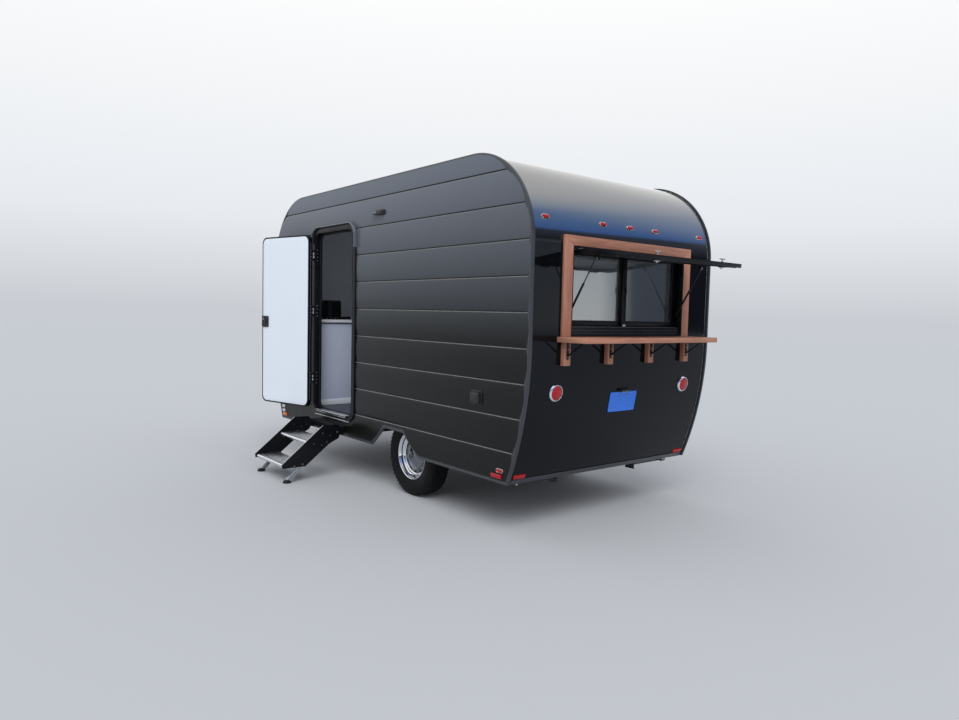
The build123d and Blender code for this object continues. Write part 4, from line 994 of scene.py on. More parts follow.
def servingWindow():
    softened("window_frame", "satinBlack", "window_black", 1.2)
    softened("window_sashes", "satinBlack", "window_black", 1.6)
    softened("window_glass", "clearGlass", "pane", 0)
    low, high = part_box("window_sashes")
    glassLow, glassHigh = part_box("window_glass")
    half = windowHigh.y - 8 * mm
    # gaskets stand on the sashes round the panes, on the outside
    strip = [(-1, 0), (6, 0), (6, 1.6), (4.5, 3), (0.5, 3), (-1, 1.6)]
    paneWide, paneTall = half - 63 * mm, glassHigh.z - glassLow.z
    for name, side, depth in (("gasketRight", -1, 0), ("gasketLeft", 1, 22 * mm)):
        centre = (side * (half - 21 * mm) / 2, (glassLow.z + glassHigh.z) / 2)
        path = roundedRing(paneWide, paneTall, 0.006, 0, centre, 3)
        settle(sweep(name, path, strip, endSeat(low.x + depth), "blackRubber"), "trailer", "window_black")
    # light lines of the tracks along the raised sill: x from the frame, drop, thickness and height
    sill = windowLow.z + 66 * mm
    lines = []
    for x, drop, back, front, tall in ((40, 0, 0, 1.6, 2.6), (58, 0, 0, 1.6, 2.6), (25.5, -24, -1.6, 0, 1.4),
                                       (25.5, -44, -1.6, 0, 1.4)):
        z = sill + drop * mm
        lines.append(slab("track", (windowLow.x + (x + back) * mm, -half, z),
                          (windowLow.x + (x + front) * mm, half, z + tall * mm), "gutterMetal"))
    settle(joined("windowTracks", lines), "trailer", "window_black")
    # a hook on each meeting stile, at half height, and the catch at their foot
    hook = [(0, 44), (0, 10), (1, 4), (5, 0), (9, 2), (10, 6), (8, 8), (6, 6), (4.5, 8), (4, 14), (4, 44)]
    seat = shifted(endSeat(low.x), y=(low.z + high.z) / 2 / mm)
    hooks = [prism("hook", [(side * (x + 19) * mm, (z - 22) * mm) for x, z in hook], 0, 9, seat,
                   "blackPlastic", 0.8) for side in (-1, 1)]
    settle(joined("sashHooks", hooks), "trailer", "window_black")
    catch = pad("sashCatch", (30, 14, 5), [(0, 0), (0, 5), (2, 7), (4, 7.5)],
                seatAt((low.x, -6 * mm, low.z + 14 * mm), (-1, 0, 0)), "palePlastic")
    settle(catch, "trailer", "galvanised")
    screws = [((windowLow.x, side * (half + 4 * mm), z), (-1, 0, 0), 2.6) for side in (-1, 1)
              for z in (windowLow.z + 0.08, (windowLow.z + windowHigh.z) / 2, windowHigh.z - 0.08)]
    studs("windowScrews", screws, "darkSteel", "trailer", "window_black", "rivet")


servingWindow()


# A turn of a leaf about a point of its hinge, in degrees
def leafTurn(spot, degrees, axis):
    turn = Matrix.Rotation(math.radians(degrees), 4, axis)
    return Matrix.Translation(spot) @ turn @ Matrix.Translation(-spot)


hatchAxis = Vector((rearX - 0.016, 0, windowHigh.z + 0.0003 - 0.025))
hatchTurn = leafTurn(hatchAxis, 84, "Y")  # raised to 84 degrees, as the joint starts


# The raised hatch: frame and sheet from the frame model, with its seal, latches and fixings
def raisedHatch():
    size = {"half": 0.604, "inner": rearX + 0.009, "outer": rearX - 0.021,
            "foot": hatchAxis.z - 0.530, "head": hatchAxis.z - 0.010, "latches": (-0.380, 0.380),
            "headScrews": 13, "headStep": 0.095, "sideScrews": 4, "sideStep": 0.13,
            "rivets": 11, "rivetStep": 0.112}
    softened("hatch", "satinBlack", "hatch_black", 2.0)
    softened("hatch_hinge", "gutterMetal", "window_black", 0.5)
    low, high = size["foot"], size["head"]
    # bulb seal round the inner face
    bulb = [(0, 0), (8, 0), (8, 2), (6.5, 3.6), (4, 4.2), (1.5, 3.6), (0, 2)]
    path = roundedRing(2 * size["half"] - 0.044, high - low - 0.044, 0.012, 0, (0, (low + high) / 2), 4)
    settle(sweep("hatchSeal", path, bulb, hatchTurn @ endSeat(size["inner"], 1), "blackRubber"), "hatch",
           "hatch_black")
    # T latches near the free edge: bar and stem outside, a pale cam inside
    handles, cams = [], []
    for y in size["latches"]:
        seat = hatchTurn @ seatAt((size["outer"], y, low + 24 * mm), (-1, 0, 0))
        handles.append(turned("stem", [(9, 0), (9, 3), (5, 4), (5, 17), (6, 18)], seat, "zincSteel", 16))
        handles.append(pad("bar", (62, 13, 6), [(1, 17), (0, 18.5), (0, 24), (2, 26)], seat, "zincSteel", 3))
        under = hatchTurn @ seatAt((size["inner"], y, low + 24 * mm), (1, 0, 0))
        cams.append(pad("cam", (46, 24, 6), [(0, 8), (0, 12), (2, 13.5)], under, "palePlastic", 3))
        cams.append(turned("camNut", [(7, 13), (7, 20), (5, 22)], under, "palePlastic", 8))
    settle(joined("latchHandles", handles), "hatch", "galvanised")
    settle(joined("latchCams", cams), "hatch", "galvanised")
    first = -size["headStep"] * (size["headScrews"] - 1) / 2
    spots = [(first + size["headStep"] * index, high - 13 * mm, 3.4) for index in range(size["headScrews"])]
    spots += [(side * (size["half"] - 0.014), low + 0.06 + size["sideStep"] * index, 3.0) for side in (-1, 1)
              for index in range(size["sideScrews"])]
    inwards = hatchTurn.to_3x3() @ Vector((1, 0, 0))
    rows = [(hatchTurn @ Vector((size["inner"], y, z)), inwards, radius) for y, z, radius in spots]
    studs("hatchScrews", rows, "zincSteel", "hatch", "galvanised")
    # bright hinge line with its rivets, on the head rail
    low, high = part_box("hatch_hinge")
    first = -size["rivetStep"] * (size["rivets"] - 1) / 2
    rivets = [((windowLow.x, first + size["rivetStep"] * index, hatchAxis.z + 10 * mm), (-1, 0, 0), 3.0)
              for index in range(size["rivets"])]
    studs("hingeRivets", rivets, "zincSteel", "trailer", "galvanised", "rivet")
    edge = slab("hingeLine", (low.x + 5 * mm, -size["half"], high.z),
                (high.x, size["half"], high.z + 1.2 * mm), "millAluminium")
    settle(edge, "trailer", "sill_metal")


raisedHatch()


def gasStruts():
    size = {"x": rearX + 0.038, "y": 0.621, "foot": windowLow.z - 0.0003 + 0.168, "eye": hatchAxis.z - 0.180,
            "collar": 0.229}
    for side, name in ((1, "left"), (-1, "right")):
        softened("strut_cylinder_" + name, "satinBlack", "window_black", 0.6)
        softened("strut_rod_" + name, "darkSteel", "strut_rod", 0.4)
        foot = Vector((size["x"], side * size["y"], size["foot"]))
        eye = hatchTurn @ Vector((size["x"], side * size["y"], size["eye"]))
        way = (eye - foot).normalized()
        collar = turned("strutCollar" + name, [(8.2, 0), (9, 1), (9, 9), (8.2, 10), (4.6, 12)],
                        seatAt(foot + way * size["collar"], way, (0, 1, 0)), "blackPlastic", 24)
        settle(collar, "strut_cylinder_" + name, "window_black")
        seat = seatAt((eye.x, eye.y - side * 8 * mm, eye.z), (0, -side, 0), (1, 0, 0))
        clip = turned("strutClip" + name, [(9.4, 0), (10, 1), (10, 3), (6, 4.4), (3.4, 4.6)], seat,
                      "zincSteel", 16)
        settle(clip, "strut_rod_" + name, "galvanised")


gasStruts()
print("window and hatch ready")


# Entry door

hingeLine = Vector((doorway["front"] + 0.010, sideY + 0.020, 0))
doorTurn = leafTurn(hingeLine, -165.4, "Z")  # open by 165.4 degrees, as the joint starts
hingeHeights = [floorZ + 0.309, floorZ + 0.989, doorway["head"] - 0.211]
hinge = {"half": 30, "leaf": 34, "highlightRises": (-0.017, 0.017), "jambRises": (-0.052, -0.018, 0.018, 0.052),
         "strapRises": (-0.042, 0.042), "strapReaches": (0.066, 0.042),
         "edgeRises": (-0.048, -0.016, 0.016, 0.048)}


def doorSurround():
    corner, flange, proud = (doorway[key] for key in ("corner", "flange", "proud"))
    back, middle = (innerY - sideY) / mm - 20, doorCentre[0]
    face = proud - 0.5  # the flange stays clear of the straps of the closed leaf
    # left of the path is the doorway; flange, jamb and stop in one section
    section = [(-55, 0.2), (-55, 8), (-53, 10.6), (-49, face), (-12, face), (-10, face - 2.2),
               (-4, face - 2.2), (-2, face), (-0.8, face - 0.6), (0, face - 2.4), (0, back + 12),
               (14, back + 12), (14, back + 1), (13, back), (-12, back), (-12, 0.2)]
    path = roundedRing(*doorSize, corner, 0, doorCentre, 14)
    parts = [sweep("doorRing", path, section, sideSeat(sideY), "satinBlack", angle=34)]
    half, leaf = hinge["half"], hinge["leaf"]
    for z in hingeHeights:
        seat = seatAt((hingeLine.x, hingeLine.y, z), (0, 0, 1), (0, 1, 0))
        parts.append(turned("barrel", [(4.2, -half), (7.2, -half), (8, 1 - half), (8, half - 1), (7.2, half),
                                       (4.2, half)], seat, "satinBlack", 24, closed=True))
        outline = [(hingeLine.x + reach * mm, z + rise * mm)
                   for reach, rise in ((0, -half), (leaf, -half), (leaf, half), (0, half))]
        parts.append(prism("hingeLeaf", outline, face, proud + 4, sideSeat(sideY), "satinBlack", 1.0))
    settle(joined("doorSurround", parts), "trailer", "door_black", "door_frame")
    # rain gutter over the head and a little way down both sides
    radius = corner + flange
    half, top = doorSize[0] / 2 + flange, doorway["head"] + flange
    gutter = [(middle + half, top - radius - 0.020),
              *arcPoints((middle + half - radius, top - radius), radius, 0, 90, 6),
              *arcPoints((middle - half + radius, top - radius), radius, 90, 180, 6),
              (middle - half, top - radius - 0.100)]
    lip = [(0, 0), (0, 3), (-5, 4), (-5.5, 24), (-3, 29), (0.5, 30), (1.5, 32), (-1, 34), (-5, 33), (-9, 28),
           (-9, 0)]
    settle(sweep("rainGutter", gutter, lip, sideSeat(sideY + 0.2 * mm), "gutterMetal", False, 40), "trailer",
           "sill_metal")
    # bulb seal on the stop
    bulb = [(0, 0), (9, 0), (9, 3), (7, 6), (4, 7), (1.5, 5.5), (0, 3)]
    path = roundedRing(*doorSize, corner, 0.001, doorCentre, 10)
    settle(sweep("doorSeal", path, bulb, sideSeat(sideY + (back + 12) * mm), "blackRubber"), "trailer",
           "door_black")
    # screws round the flange, left out beside the hinges
    rows, apart = [], 0.20
    ring = roundedRing(*doorSize, corner, -0.030, doorCentre, 2)
    for (x0, z0), (x1, z1) in zip(ring, ring[1:] + ring[:1]):
        count = max(1, round(math.hypot(x1 - x0, z1 - z0) / apart))
        for step in range(count):
            x, z = x0 + (x1 - x0) * step / count, z0 + (z1 - z0) * step / count
            if min(abs(z - height) for height in hingeHeights) > 0.045 or x < middle:
                rows.append(((x, sideY + face * mm, z), (0, 1, 0), 3.0))
    studs("flangeScrews", rows, "satinBlack", "trailer", "door_black", "rivet", 10)
    # chrome dashes on the barrels' front as painted highlights, and screws in the jamb beside them
    way = Vector((-0.7, 0.714, 0))
    highlightDashes = [pad("dash", (7, 24, 3.4), [(0, 0), (0, 1), (1.2, 1.6)],
                  seatAt(hingeLine + way * 7.4 * mm + Vector((0, 0, z + rise)), way), "brightChrome", 4)
              for z in hingeHeights for rise in hinge["highlightRises"]]
    settle(joined("hingeDashes", highlightDashes), "trailer", "galvanised")
    rows = [((doorway["front"], sideY - 0.014, z + rise), (-1, 0, 0), 5.2)
            for z in hingeHeights for rise in hinge["jambRises"]]
    studs("jambScrews", rows, "millAluminium", "trailer", "galvanised")


def doorSill():
    softened("door_sill", "millAluminium", "sill_metal", 0.6)
    low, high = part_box("door_sill")
    seat = seatAt(((low.x + high.x) / 2, high.y - 0.012, high.z - 0.001), (0, 0, 1), (0, 1, 0))
    ribs = {"count": 5, "step": 0.012}
    rib = pad("sillRib", ((high.x - low.x) / mm - 4, 3, 1.2), [(0, 0), (0.3, 1.0), (0.9, 1.5)], seat,
              "millAluminium", 2)
    settle(repeated("sillRibs", rib, ribs["count"], "millAluminium", (0, -ribs["step"], 0)), "trailer",
           "sill_metal")
    band = slab("sillBand", (low.x + 0.002, high.y, low.z + 0.0045),
                (high.x - 0.002, high.y + 0.0012, high.z - 0.005), "blackRubber")
    settle(band, "trailer", "door_black")
    front, foot = sideY + doorway["proud"] * mm, doorway["foot"]
    line = slab("sillLine", (low.x - 0.05, front, foot - 0.054),
                (high.x + 0.05, front + 1.6 * mm, foot - 0.047), "millAluminium", 0.5)
    settle(line, "trailer", "sill_metal")


def openDoor():
    softened("door_leaf", "satinBlack", "door_black", 3.0)
    leafOut = sideY + doorway["proud"] * mm
    leafIn = leafOut - 0.040
    lining = pad("linerPanel", [1000 * length - 46 for length in doorSize] + [60],
                 [(0, 0), (0, 1.0), (0.6, 1.5), (16, 1.6), (17, 2.0), (19, 2.1)],
                 doorTurn @ seatAt((doorCentre[0], leafIn, doorCentre[1]), (0, -1, 0)), "whiteLiner", 12)
    settle(lining, "door", "door_white", "door_liner")
    gasket = [(0, 0), (7, 0), (7, 2), (5.5, 4), (3.5, 4.6), (1.5, 4), (0, 2)]
    path = roundedRing(doorSize[0] - 0.016, doorSize[1] - 0.016, doorway["corner"] - 0.008, 0.004, doorCentre,
                       10)
    settle(sweep("leafGasket", path, gasket, doorTurn @ sideSeat(leafIn, -1), "blackRubber"), "door",
           "door_black")
    # latches: an outer escutcheon with a paddle, an inner one with a recess and a small bright lever
    latchX, latchZ = doorway["rear"] + 0.070, floorZ + 0.865
    fitting("outerLatch", doorTurn @ seatAt((latchX, leafOut, latchZ), (0, 1, 0)), (
        ((0, 0), (68, 120, 12), [(0, 0), (0, 8), (1.5, 10.8), (5, 12)], "blackPlastic", 5),
        ((0, -8), (40, 44, 8), [(0, 11), (0, 22), (2, 26), (6, 28)], "blackPlastic", 5),
        ((0, 40), None, [(8, 11), (8, 13.4), (7, 14), (4, 14), (3.6, 12.6)], "zincSteel", 20),
    ), "door", "inlet", "door_latch")
    fitting("innerLatch", doorTurn @ seatAt((latchX - 0.004, leafIn - 0.001, latchZ), (0, -1, 0)), (
        ((0, 0), (104, 118, 14), [(0, 0), (0, 9), (2, 12.4), (6, 13.6), (15, 13.6), (18, 9), (24, 8.4)],
         "blackPlastic", 5),
        ((8, -4), (26, 52, 8), [(0, 7), (0, 14), (2.4, 17), (6, 17.6)], "darkSteel", 4),
        ((-24, 26), None, [(9, 8), (9, 15), (7.6, 16.4), (2, 16.6)], "zincSteel", 20),
    ), "door", "inlet", "door_inner_latch")
    # screws on the straps outside, and along the hinge edge of the leaf
    edgeX = doorway["front"] - 0.008
    spots = []
    for z in hingeHeights:
        spots += [((hingeLine.x - reach, leafOut + 0.004, z + rise), (0, 1, 0), 5.4)
                  for rise in hinge["strapRises"] for reach in hinge["strapReaches"]]
        spots += [((edgeX, leafOut - 0.012, z + rise), (1, 0, 0), 5.6) for rise in hinge["edgeRises"]]
    turn = doorTurn.to_3x3()
    rows = [(doorTurn @ Vector(spot), turn @ Vector(way), radius) for spot, way, radius in spots]
    studs("leafScrews", rows, "millAluminium", "door", "galvanised")
    # a grey metal strip down the hinge edge of the leaf: painted highlight on the rounded edge
    strip = pad("hingeStrip", (5, 1000 * doorSize[1] - 170, 2), [(0, 0), (0, 0.8), (1, 1.6)],
                doorTurn @ seatAt((edgeX, leafOut - 0.0205, doorCentre[1]), (1, 0, 0)), "gutterMetal", 3)
    settle(strip, "door", "sill_metal")


doorSurround()
doorSill()
openDoor()
print("door ready")


# Fold-out step: plates with bright edges, ribbed treads, drilled legs on rubber feet

foldStep = {
    "thick": 0.005, "treadDepth": 0.230, "treadThick": 0.032, "rise": 0.192, "run": 0.236,
    "firstTop": 0.362, "firstNose": 0.392, "edgeRise": 0.014, "top": 0.505, "tip": 0.012,
    "footOut": 0.582, "legTop": 0.400,
    # pivot and bolts of a side plate: distance from the wall, height, radius in mm
    "bolts": ((0.090, 0.430, 11), (0.200, 0.345, 7), (0.250, 0.318, 6), (0.330, 0.336, 6), (0.440, 0.160, 7),
              (0.520, 0.152, 6), (0.165, 0.400, 6), (0.240, 0.430, 6)),
    # a tread's rounded nose: forward, raised in mm
    "nose": [(-7, 0), (-4, 2), (1, 3), (6, 1.6), (9.4, -2), (11, -7), (11, -14), (9, -14), (8, -7), (4, -2),
             (-7, -2)],
    "holes": 4, "holeStep": 0.024, "ribs": 12, "ribStep": 0.0145,
}


def stepPlates():
    softened("step_bracket", "satinBlack", "step_black", 1.0)
    softened("step_plates", "satinBlack", "step_black", 0.9)
    softened("step_treads", "millAluminium", "step_tread", 0.8)
    low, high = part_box("step_plates")
    slope = foldStep["rise"] / foldStep["run"]
    edge = foldStep["firstTop"] + foldStep["edgeRise"]
    tip = foldStep["run"] + foldStep["tip"]
    nose = sideY + foldStep["firstNose"]
    start = Vector((0, nose - (foldStep["top"] - edge) / slope, above(foldStep["top"])))
    end = Vector((0, nose + tip, above(edge - tip * slope)))
    way = (end - start).normalized()
    thick = foldStep["thick"]
    strips, bolts = [], []
    for side, face in ((-1, low.x), (1, high.x)):
        middle = (start + end) / 2
        middle.x = face - side * thick / 2
        seat = seatAt(middle, way.cross(Vector((1, 0, 0))), way)
        strips.append(pad("strip", (6.4, (end - start).length / mm - 6, 1.2),
                          [(0, -0.6), (0, 0.8), (1.2, 1.8)], seat, "millAluminium", 2))
        for out, height, radius in foldStep["bolts"]:
            y, z = sideY + out, above(height)
            bolts.append(((face, y, z), (side, 0, 0), radius))
            if radius < 11:
                bolts.append(((face - side * thick, y, z), (-side, 0, 0), radius * 0.85))
    settle(joined("stepEdges", strips), "step", "step_tread")
    studs("stepBolts", bolts, "zincSteel", "step", "galvanised", "bolt", 6)


# Raised ribs and a bright rounded nose on each tread
def stepTreads():
    low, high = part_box("step_treads")
    wide = (high.x - low.x) / mm
    for index in range(2):
        nose = sideY + foldStep["firstNose"] + index * foldStep["run"]
        top = above(foldStep["firstTop"] - index * foldStep["rise"])
        spot = ((low.x + high.x) / 2, nose - foldStep["treadDepth"] + 0.012, top - 0.0005)
        rib = pad("rib", (wide - 8, 5, 2), [(0, 0), (0.6, 1.2), (1.8, 1.6)],
                  seatAt(spot, (0, 0, 1), (0, 1, 0)), "millAluminium", 2)
        ribs = repeated("treadRibs" + str(index), rib, foldStep["ribs"], "millAluminium",
                        (0, foldStep["ribStep"], 0))
        settle(ribs, "step", "step_tread")
        outline = [(y * mm, z * mm) for y, z in foldStep["nose"]]
        seat = Matrix.Translation((0, nose - 0.011, top - 0.001)) @ endSeat(0, 1)
        piece = prism("treadNose" + str(index), outline, low.x / mm + 1.5, high.x / mm - 1.5, seat,
                      "brightChrome")
        smoothShade(piece.data, 50)
        settle(piece, "step", "step_tread")


def stepLegs():
    low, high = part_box("step_legs")
    way = Vector((0, foldStep["legTop"] - foldStep["footOut"], foldStep["firstTop"] / 2)).normalized()
    underTread = above(foldStep["firstTop"] - foldStep["rise"] - foldStep["treadThick"]) - 0.0003
    legs, feet, holes = [], [], []
    for x in (low.x + 0.024, high.x - 0.024):
        ground = Vector((x, sideY + foldStep["footOut"], groundZ))
        foot = ground + Vector((0, 0, 0.011))
        reach = (underTread - foot.z) / way.z - 0.008
        legs.append(pad("leg", (46, 26, 3), [(0, 8), (0, reach / mm)], seatAt(foot, way, (1, 0, 0)),
                        "zincSteel", 2))
        holes += [(foot + way * (0.036 + foldStep["holeStep"] * step) + Vector((side * 0.013, 0, 0)),
                   (side, 0, 0), 4.6) for side in (-1, 1) for step in range(foldStep["holes"])]
        feet.append(turned("foot", [(30, 0), (36, 2), (37, 6), (36, 12), (31, 19), (24, 25), (15, 29)],
                           Matrix.Translation(ground), "blackRubber", 36))
    settle(joined("stepLegs", legs + feet), "step", "galvanised", "step_legs")
    # the drilled holes are dark domes: painted shade where the openings are
    studs("legHoles", holes, "blackRubber", "step", "galvanised", "rivet", 12)


stepPlates()
stepTreads()
stepLegs()
print("step ready")


# Wheels and tyres, turned about the axle; the left one is made and mirrored

wheelShape = {
    "lugs": 56, "slots": 12, "slot": (44, 19, 8), "slotReach": 144,
    # sections: (radius, outwards) in mm
    "tyre": [(194.5, 69), (198, 72.4), (207, 74.4), (209, 79), (214, 84), (222, 88.5), (226, 90.8),
             (229, 91.2), (232, 93.2), (250, 99), (268, 101.9), (284, 101.6), (288, 102.4), (292, 101),
             (306, 97.5), (318, 92), (328, 85), (334, 79.5), (339, 75), (342, 70)],
    # round the middle of a groove in the tread
    "groove": [(343.4, 4.4), (343.0, 4.0), (335.5, 3.0), (335.5, -3.0), (343.0, -4.0), (343.4, -4.4)],
    "trim": [(193, 71), (201, 73), (206, 76), (206, 80), (204.6, 82), (201, 82.4), (198, 80.6), (196, 76),
             (192, 67), (186, 57), (179, 50), (173, 47), (170, 47.6), (168, 46), (166, 40), (163, 36),
             (158, 34), (156, 32), (156, 27), (168, 27), (184, 34), (186, 60)],
    "disc": [(157, 25), (157, 33.2), (150, 33), (134, 33.4), (126, 35), (120, 34), (116, 30), (116, 25)],
    "cap": [(118, 30), (118.5, 35), (116, 37), (112, 37.6), (104, 41.6), (92, 46.6), (76, 51.6), (60, 55),
            (42, 57.6), (36, 58.2), (34, 59.4), (30, 60.4), (20, 61.4), (8, 61.9), (1, 62)],
    "barrel": [(186, 60), (186, -75), (194, -76), (206, -78), (206, -82.4), (198, -82.4), (180, -74),
               (178, -20), (178, 24), (158, 27), (116, 27), (116, 24), (110, 20), (110, -116), (106, -118),
               (24, -118), (24, 20), (112, 30), (176, 30), (180, 50)],
    "valve": [(4.5, 0), (4.5, 8), (3.4, 10), (3.4, 24), (4, 25), (4, 31), (2.4, 32)],
}


def tyres():
    hub = seatAt(wheelSpot, (0, 1, 0))
    half = wheelShape["tyre"] + [(radius, middle + out) for middle in (48, 17)
                                    for radius, out in wheelShape["groove"]]
    section = half + [(radius, -out) for radius, out in half[::-1]]
    rubber = turned("tyreBody", section, hub, "tyreRubber", 96, closed=True, angle=38)
    # shoulder lugs: one stands at radius y with its width along z, and it repeats round z
    block = [(-9, 66), (9, 66), (7, 86), (-5, 86)]
    lug = prism("lug", [(x * mm, y * mm) for x, y in block], 330, 341.5, None, "tyreRubber", 1.2)
    for vertex in lug.data.vertices:
        drop = max(0.0, vertex.co.y / mm - 66) / 20
        vertex.co.z -= drop * drop * 6 * mm
    lug.data.transform(sideSeat(0))
    lug.data.flip_normals()
    other = placed("lugTwin", lug.data.copy())
    other.data.transform(Matrix.Scale(-1, 4, (0, 0, 1)))
    other.data.flip_normals()
    pair = joined("lugs", [lug, other])
    count = wheelShape["lugs"]
    blocks = repeated("tyreLugs", pair, count, "tyreRubber", angle=math.tau / count, seat=hub)
    rubber = joined("tyreLeft", [rubber, blocks])
    smoothShade(rubber.data, 38)
    settle(mirrored(rubber, "tyreRight"), "wheel_right", "tyre", "tyre_right")
    settle(rubber, "wheel_left", "tyre", "tyre_left")


# Bright trim ring with an inner step, slotted disc, domed cap, barrel and valve
def wheels():
    hub = seatAt(wheelSpot, (0, 1, 0))
    # the disc and cap take the chrome painted darker: painted shade in their reflection
    ring, disc, barrel = (
        turned(name, wheelShape[name], hub, material, count, closed=True, angle=40)
        for name, material, count in (("trim", "brightChrome", 96), ("disc", "shadeChrome", 96),
                                      ("barrel", "darkSteel", 72)))
    slot = pad("slotTool", wheelShape["slot"], [(0, 15), (0, 45)],
               shifted(Matrix(), y=wheelShape["slotReach"]), "darkSteel", 4)
    count = wheelShape["slots"]
    tool = repeated("slotTools", slot, count, "darkSteel", angle=math.tau / count, seat=hub)
    cut = disc.modifiers.new("slots", "BOOLEAN")
    cut.operation, cut.solver, cut.object = "DIFFERENCE", "EXACT", tool
    bake(disc)
    dropped(tool)
    smoothShade(disc.data, 40)
    cap = turned("cap", wheelShape["cap"], hub, "shadeChrome", 96, angle=40)
    seat = seatAt(wheelSpot + Vector((0, 0.048, -0.178)), (0, 0.9, 0.45), (1, 0, 0))
    valve = turned("valve", wheelShape["valve"], seat, "blackRubber", 14)
    wheel = joined("wheelLeft", [ring, disc, cap, barrel, valve])
    settle(mirrored(wheel, "wheelRight"), "wheel_right", "wheel_chrome", "wheel_right")
    settle(wheel, "wheel_left", "wheel_chrome", "wheel_left")


tyres()
wheels()
print("wheels ready")


# Lamps on the rear: deep bright bezels with raised lenses

def rearLamps():
    lamps = {"y": 0.741, "z": above(1.034), "clearanceZ": shoulderZ + 0.175,
             "clearance": (-0.890, -0.305, 0, 0.305, 0.890), "oval": (72, 34, 17)}
    bezel = [(65, 0), (65, 3), (64, 8), (61.5, 13), (58, 17), (55, 18.6), (53, 18.4), (52, 17), (51.6, 12),
             (51.4, 3), (30, 1), (30, 0)]
    lens = [(51.2, 1), (51.2, 13), (50, 15.4), (47, 17.4), (44, 18), (43, 17.2), (41.5, 17.4), (34, 19.6),
            (24, 21.4), (12, 22.6), (2, 23)]
    bezels, lenses = [], []
    for y in (-lamps["y"], lamps["y"]):
        seat = rearSkinSeat(y, lamps["z"])
        bezels.append(turned("bezel", bezel, seat, "brightChrome", 64, closed=True))
        lenses.append(turned("lens", lens, seat, "redLens", 64))
    bezel = [(0, 0), (0, 5.6), (1.0, 8.2), (2.2, 9), (3.4, 8.2), (4, 5)]
    lens = [(3.8, 4), (3.8, 8), (5, 11.2), (8, 14), (12, 15.6), (16.6, 16)]
    for y in lamps["clearance"]:
        seat = rearSkinSeat(y, lamps["clearanceZ"])
        bezels.append(pad("bezel", lamps["oval"], bezel, seat, "brightChrome", 8))
        lenses.append(pad("lens", lamps["oval"], lens, seat, "redLens", 8))
    settle(joined("lampBezels", bezels), "trailer", "wheel_chrome")
    settle(joined("lampLenses", lenses), "trailer", "lamp_red", "tail_lamps", "clearance_lamps")


markers = {
    # (end, height, distance from that end, width, height in mm, lens); an oval one has a bezel
    "rows": (("rear", 0.470, 0.102, 76, 32, "redLens"), ("rear", 0.426, 0.122, 112, 30, "redLens"),
             ("front", 0.510, 0.100, 76, 32, "clearLens"), ("front", 0.466, 0.092, 76, 32, "clearLens"),
             ("front", 0.426, 0.100, 96, 34, "amberLens")),
    "ovalWidth": 76,
    "rim": [(0, 0), (0, 8), (1, 10.4), (2.4, 11), (4, 9.6), (4.6, 6)],
    "ovalLens": [(4.4, 5), (4.4, 9.6), (5.6, 12.4), (8, 14.4), (11, 15)],
    "flatLens": [(0, 0), (0, 8), (0.8, 9.4), (2.4, 10), (3.2, 11.6), (5, 12.4)],
}


# Markers on both sides, and a reflector on each lower corner of the rear
def sideMarkers():
    bezels, lenses = [], []
    for end, height, reach, wide, tall, lens in markers["rows"]:
        x = rearEdge(above(height), reach)
        if end == "front":
            x = frontX - (x - rearX)
        for side in (-1, 1):
            seat = seatAt((x, side * (sideY - 0.003), above(height)), (0, side, 0))
            if wide == markers["ovalWidth"]:
                size = (wide, tall, tall / 2)
                bezels.append(pad("rim", size, markers["rim"], seat, "brightChrome", 7))
                lenses.append(pad("glow", size, markers["ovalLens"], seat, lens, 7))
            else:
                lenses.append(pad("glow", (wide, tall, 3), markers["flatLens"], seat, lens, 4))
    for side in (-1, 1):
        seat = rearSkinSeat(side * (innerY - 0.072), above(0.428), -0.003)
        lenses.append(pad("glow", (112, 30, 3), markers["flatLens"], seat, "redLens", 4))
    settle(joined("markerBezels", bezels), "trailer", "wheel_chrome")
    settle(joined("markerLenses", lenses), "trailer", "lamp_red", "side_markers")


# A blank plate with a raised rim and four screws, under a hooded lamp
def numberPlate():
    size = {"z": above(0.930), "wide": 304, "tall": 156, "lampWide": 110, "lampTall": 26}
    seat = rearSkinSeat(0, size["z"])
    plate = pad("blankPlate", (size["wide"], size["tall"], 12),
                [(0, 0), (0, 5.4), (1.2, 7.4), (3, 8), (7, 8), (9, 7), (11, 6.6)], seat, "plateBlue", 6)
    over = shifted(seat, y=(size["tall"] + size["lampTall"]) / 2 + 1)
    hood = pad("plateLamp", (size["lampWide"], size["lampTall"], 9),
               [(0, 0), (0, 3), (1.6, 4), (1.6, 19), (3, 25), (6, 29), (9, 30)], over, "blackPlastic", 5)
    glow = pad("plateGlow", (70, 12, 4), [(0, 0), (0, 2), (1.5, 3)],
               shifted(over, 0, -11.6, 14) @ Matrix.Rotation(math.radians(90), 4, "X"), "clearLens", 3)
    settle(joined("plateAndLamp", [plate, hood, glow]), "trailer", "plate_blue", "number_plate")
    rows = [(seat @ Vector((x * mm, y * mm, 6.4 * mm)), seat.to_3x3() @ Vector((0, 0, 1)), 4.2)
            for x in (-89, 89) for y in (-62, 62)]
    studs("plateScrews", rows, "zincSteel", "trailer", "galvanised")


